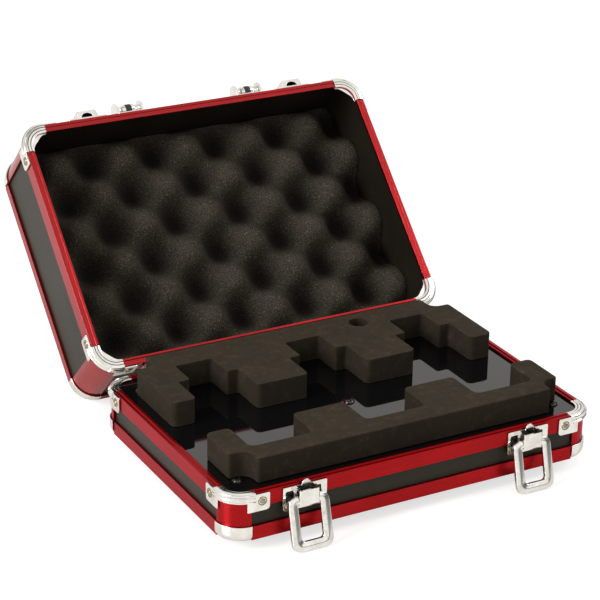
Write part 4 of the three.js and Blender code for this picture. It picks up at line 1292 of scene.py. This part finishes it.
def leafSpots(place, z, first):
    return [(place, (x, leafBack, z), (0, 1, 0), turned(i + first)) for i, x in enumerate(leafX)]


baseLeafSpots = leafSpots(hingePlace, -hinge["baseScrews"], 0)
lidLeafSpots = leafSpots(lidTurn, hinge["lidScrews"], 3)
setFasteners("hinge_base_screws", crossTree, leafScrews, baseLeafSpots, "steel", "base")
setFasteners("hinge_lid_screws", crossTree, leafScrews, lidLeafSpots, "steel", "lid")

footScrews = {"headRadius": 2.4, "headRise": 1.2, "slotLength": 3.0, "slotWidth": 0.7, "slotDepth": 0.8}
footSpots = [(floorPlace, (x * footX, y * footY, feet["sunk"]), (0, 0, -1), turned(x + 2 * y))
             for x, y in pairs]
setFasteners("foot_screws", crossTree, footScrews, footSpots, "steel", "base")


# Rivets on the bracket ears, the latch plates, the strikes and the handle brackets
def earSpots(sizes):
    s = bracketSizes
    spots = []
    for label, turn in cornersOf(sizes["ySign"]):
        z = sizes["height"] - s["rivetDrop"]
        place = sizes["place"] @ turn
        spots.append((place, (bracketOut, -s["rivetFromArc"], z), (1, 0, 0), 0))
        spots.append((place, (-s["rivetFromArc"], bracketOut, z), (0, 1, 0), 0))
    return spots


# Two rivets on a plate's front face
def plateSpots(place, x, sizes):
    plate, (side, up) = place @ Matrix.Translation((x, 0, 0)), sizes["rivets"]
    return [(plate, (u, -sizes["plate"][1], up), (0, -1, 0), 0) for u in (-side, side)]


baseRivets = earSpots(halves["base"])
lidRivets = earSpots(halves["lid"])
for sign in (-1, 1):
    baseRivets += plateSpots(baseFrontPlace, sign * latch["x"], latch)
    lidRivets += plateSpots(lidFrontPlace, sign * latch["x"], strikeSizes)
    lidRivets += plateSpots(lidFrontPlace, sign * handleSizes["x"], handleSizes)
setFasteners("base_rivets", domeTree, rivetSizes, baseRivets, "rivet", "base")
setFasteners("lid_rivets", domeTree, rivetSizes, lidRivets, "rivet", "lid")
print("fasteners set")


# Studio: white floor and surround, darker for the mirrors in front and beyond the paper, soft lamps
studio = {
    "floor": 0.42, "floorSeen": 0.68, "floorMirrored": 0.84, "warm": (1, 0.985, 0.955), "floorRough": 0.3,
    "paperEnd": (0.066, 0.085), "world": 0.8, "low": 0.26, "high": 1.05,
    "around": ((-180, 0.95), (36, 1.0), (42, 0.3), (92, 0.24), (108, 0.45), (140, 0.95)),
    "aroundTop": (0.42, 0.62), "ceiling": (0.9, 0.985, 0.45),
    "gap": ((-180, 0), (8, 0), (16, 1), (100, 1), (120, 0)), "gapHeight": (0.04, 0.08, 0.15, 0.14),
}
lamps = {
    "keyLamp": ((-1.9, -0.25, 0.95), 0.9, 42.0),
    "rightLamp": ((1.6, -0.6, 1.35), 0.8, 9.0),
    "fillLamp": ((0.6, -2.2, 1.1), 1.6, 1.0),
}


def lightPath(bench):
    path = bench.node("ShaderNodeLightPath").socket.node
    seen, glossy, through = [Wire(bench, path.outputs[f"Is {kind} Ray"])
                             for kind in ("Camera", "Glossy", "Transmission")]
    return seen, glossy.larger(through)


# Brightness by the direction round the case, from behind over the left and the front to the right
def aroundLevel(bench, x, y, stops):
    turn = x.maths("ARCTAN2", x, 0 - y) / (4 * quarter) + 0.5
    return bench.ramp(turn, *[(angle / 360 + 0.5, level) for angle, level in stops])


def makeStudio():
    floor = bmesh.new()
    bmesh.ops.create_grid(floor, x_segments=1, y_segments=1, size=6)
    mesh = bpy.data.meshes.new("studioFloor")
    floor.to_mesh(mesh)
    floor.free()
    plane = bpy.data.objects.new("studioFloor", mesh)
    scene.collection.objects.link(plane)
    material = bpy.data.materials.new("paperFloor")
    material.use_nodes = True
    bench = Bench(material.node_tree)
    shader = next(node for node in material.node_tree.nodes if node.type == "BSDF_PRINCIPLED")
    shader.inputs["IOR"].default_value = 1.5
    shader.inputs["Emission Strength"].default_value = 1.0
    seen, mirrored = lightPath(bench)
    paper, glow = [(*[studio[key]] * 3, 1) for key in ("floor", "floorSeen")]
    mirroredPaper = (*[studio["floorMirrored"] * share for share in studio["warm"]], 1)
    x, y, z = bench.split(bench.node("ShaderNodeTexCoord", None, None, "Object"))
    start, end = studio["paperEnd"]
    ahead = 0 - y - (halfDepth - shiftY) * mm
    beyond = bench.ramp((ahead - start) / (end - start), (0, 0), (1, 1))
    links = {
        "Base Color": bench.blend(mirrored, paper, mirroredPaper),
        "Alpha": 1 - mirrored * beyond,
        "Roughness": 0.95 - mirrored * (0.95 - studio["floorRough"]),
        "Emission Color": bench.blend(seen, (0, 0, 0, 1), glow),
    }
    for key, value in links.items():
        material.node_tree.links.new(value.socket, shader.inputs[key])
    mesh.materials.append(material)
    world = bpy.data.worlds.new("studioWorld")
    scene.world = world
    world.use_nodes = True
    bench = Bench(world.node_tree)
    background = next(node for node in world.node_tree.nodes if node.type == "BACKGROUND")
    seen, mirrored = lightPath(bench)
    way = bench.node("ShaderNodeTexCoord", None, None, "Generated")
    x, y, z = bench.split(way)
    height = bench.ramp(z * 0.5 + 0.5, (0.5, studio["low"]), (0.72, studio["high"]))
    around = aroundLevel(bench, x, y, studio["around"])
    start, end = studio["aroundTop"]
    above = bench.ramp(z, (start, 0), (end, 1))
    near, far, dim = studio["ceiling"]
    ceiling = bench.ramp(z, (near, 1), (far, dim))
    centre, start, end, gapLevel = studio["gapHeight"]
    gap = aroundLevel(bench, x, y, studio["gap"]) * bench.ramp(abs(z - centre), (start, 1), (end, 0))
    shown = bench.blend(gap, bench.blend(above, around, ceiling, "FLOAT") * studio["high"], gapLevel, "FLOAT")
    lit = bench.blend(mirrored, height * studio["world"], shown, "FLOAT")
    level = bench.blend(seen, lit, 1.0, "FLOAT")
    world.node_tree.links.new(level.socket, background.inputs["Strength"])
    tint = bench.blend(seen, (*studio["warm"], 1), (1, 1, 1, 1))
    world.node_tree.links.new(tint.socket, background.inputs["Color"])


def addLamp(name, place, aim, size, power):
    data = bpy.data.lights.new(name, "AREA")
    data.shape, data.size, data.energy = "SQUARE", size, power
    lamp = bpy.data.objects.new(name, data)
    scene.collection.objects.link(lamp)
    away = Vector(aim) - Vector(place)
    lamp.matrix_world = Matrix.Translation(place) @ away.to_track_quat("-Z", "Y").to_matrix().to_4x4()


makeStudio()
for name, (place, size, power) in lamps.items():
    addLamp(name, place, (0, 0, 0.05), size, power)
scene.view_settings.view_transform = "Standard"
print("studio lit")
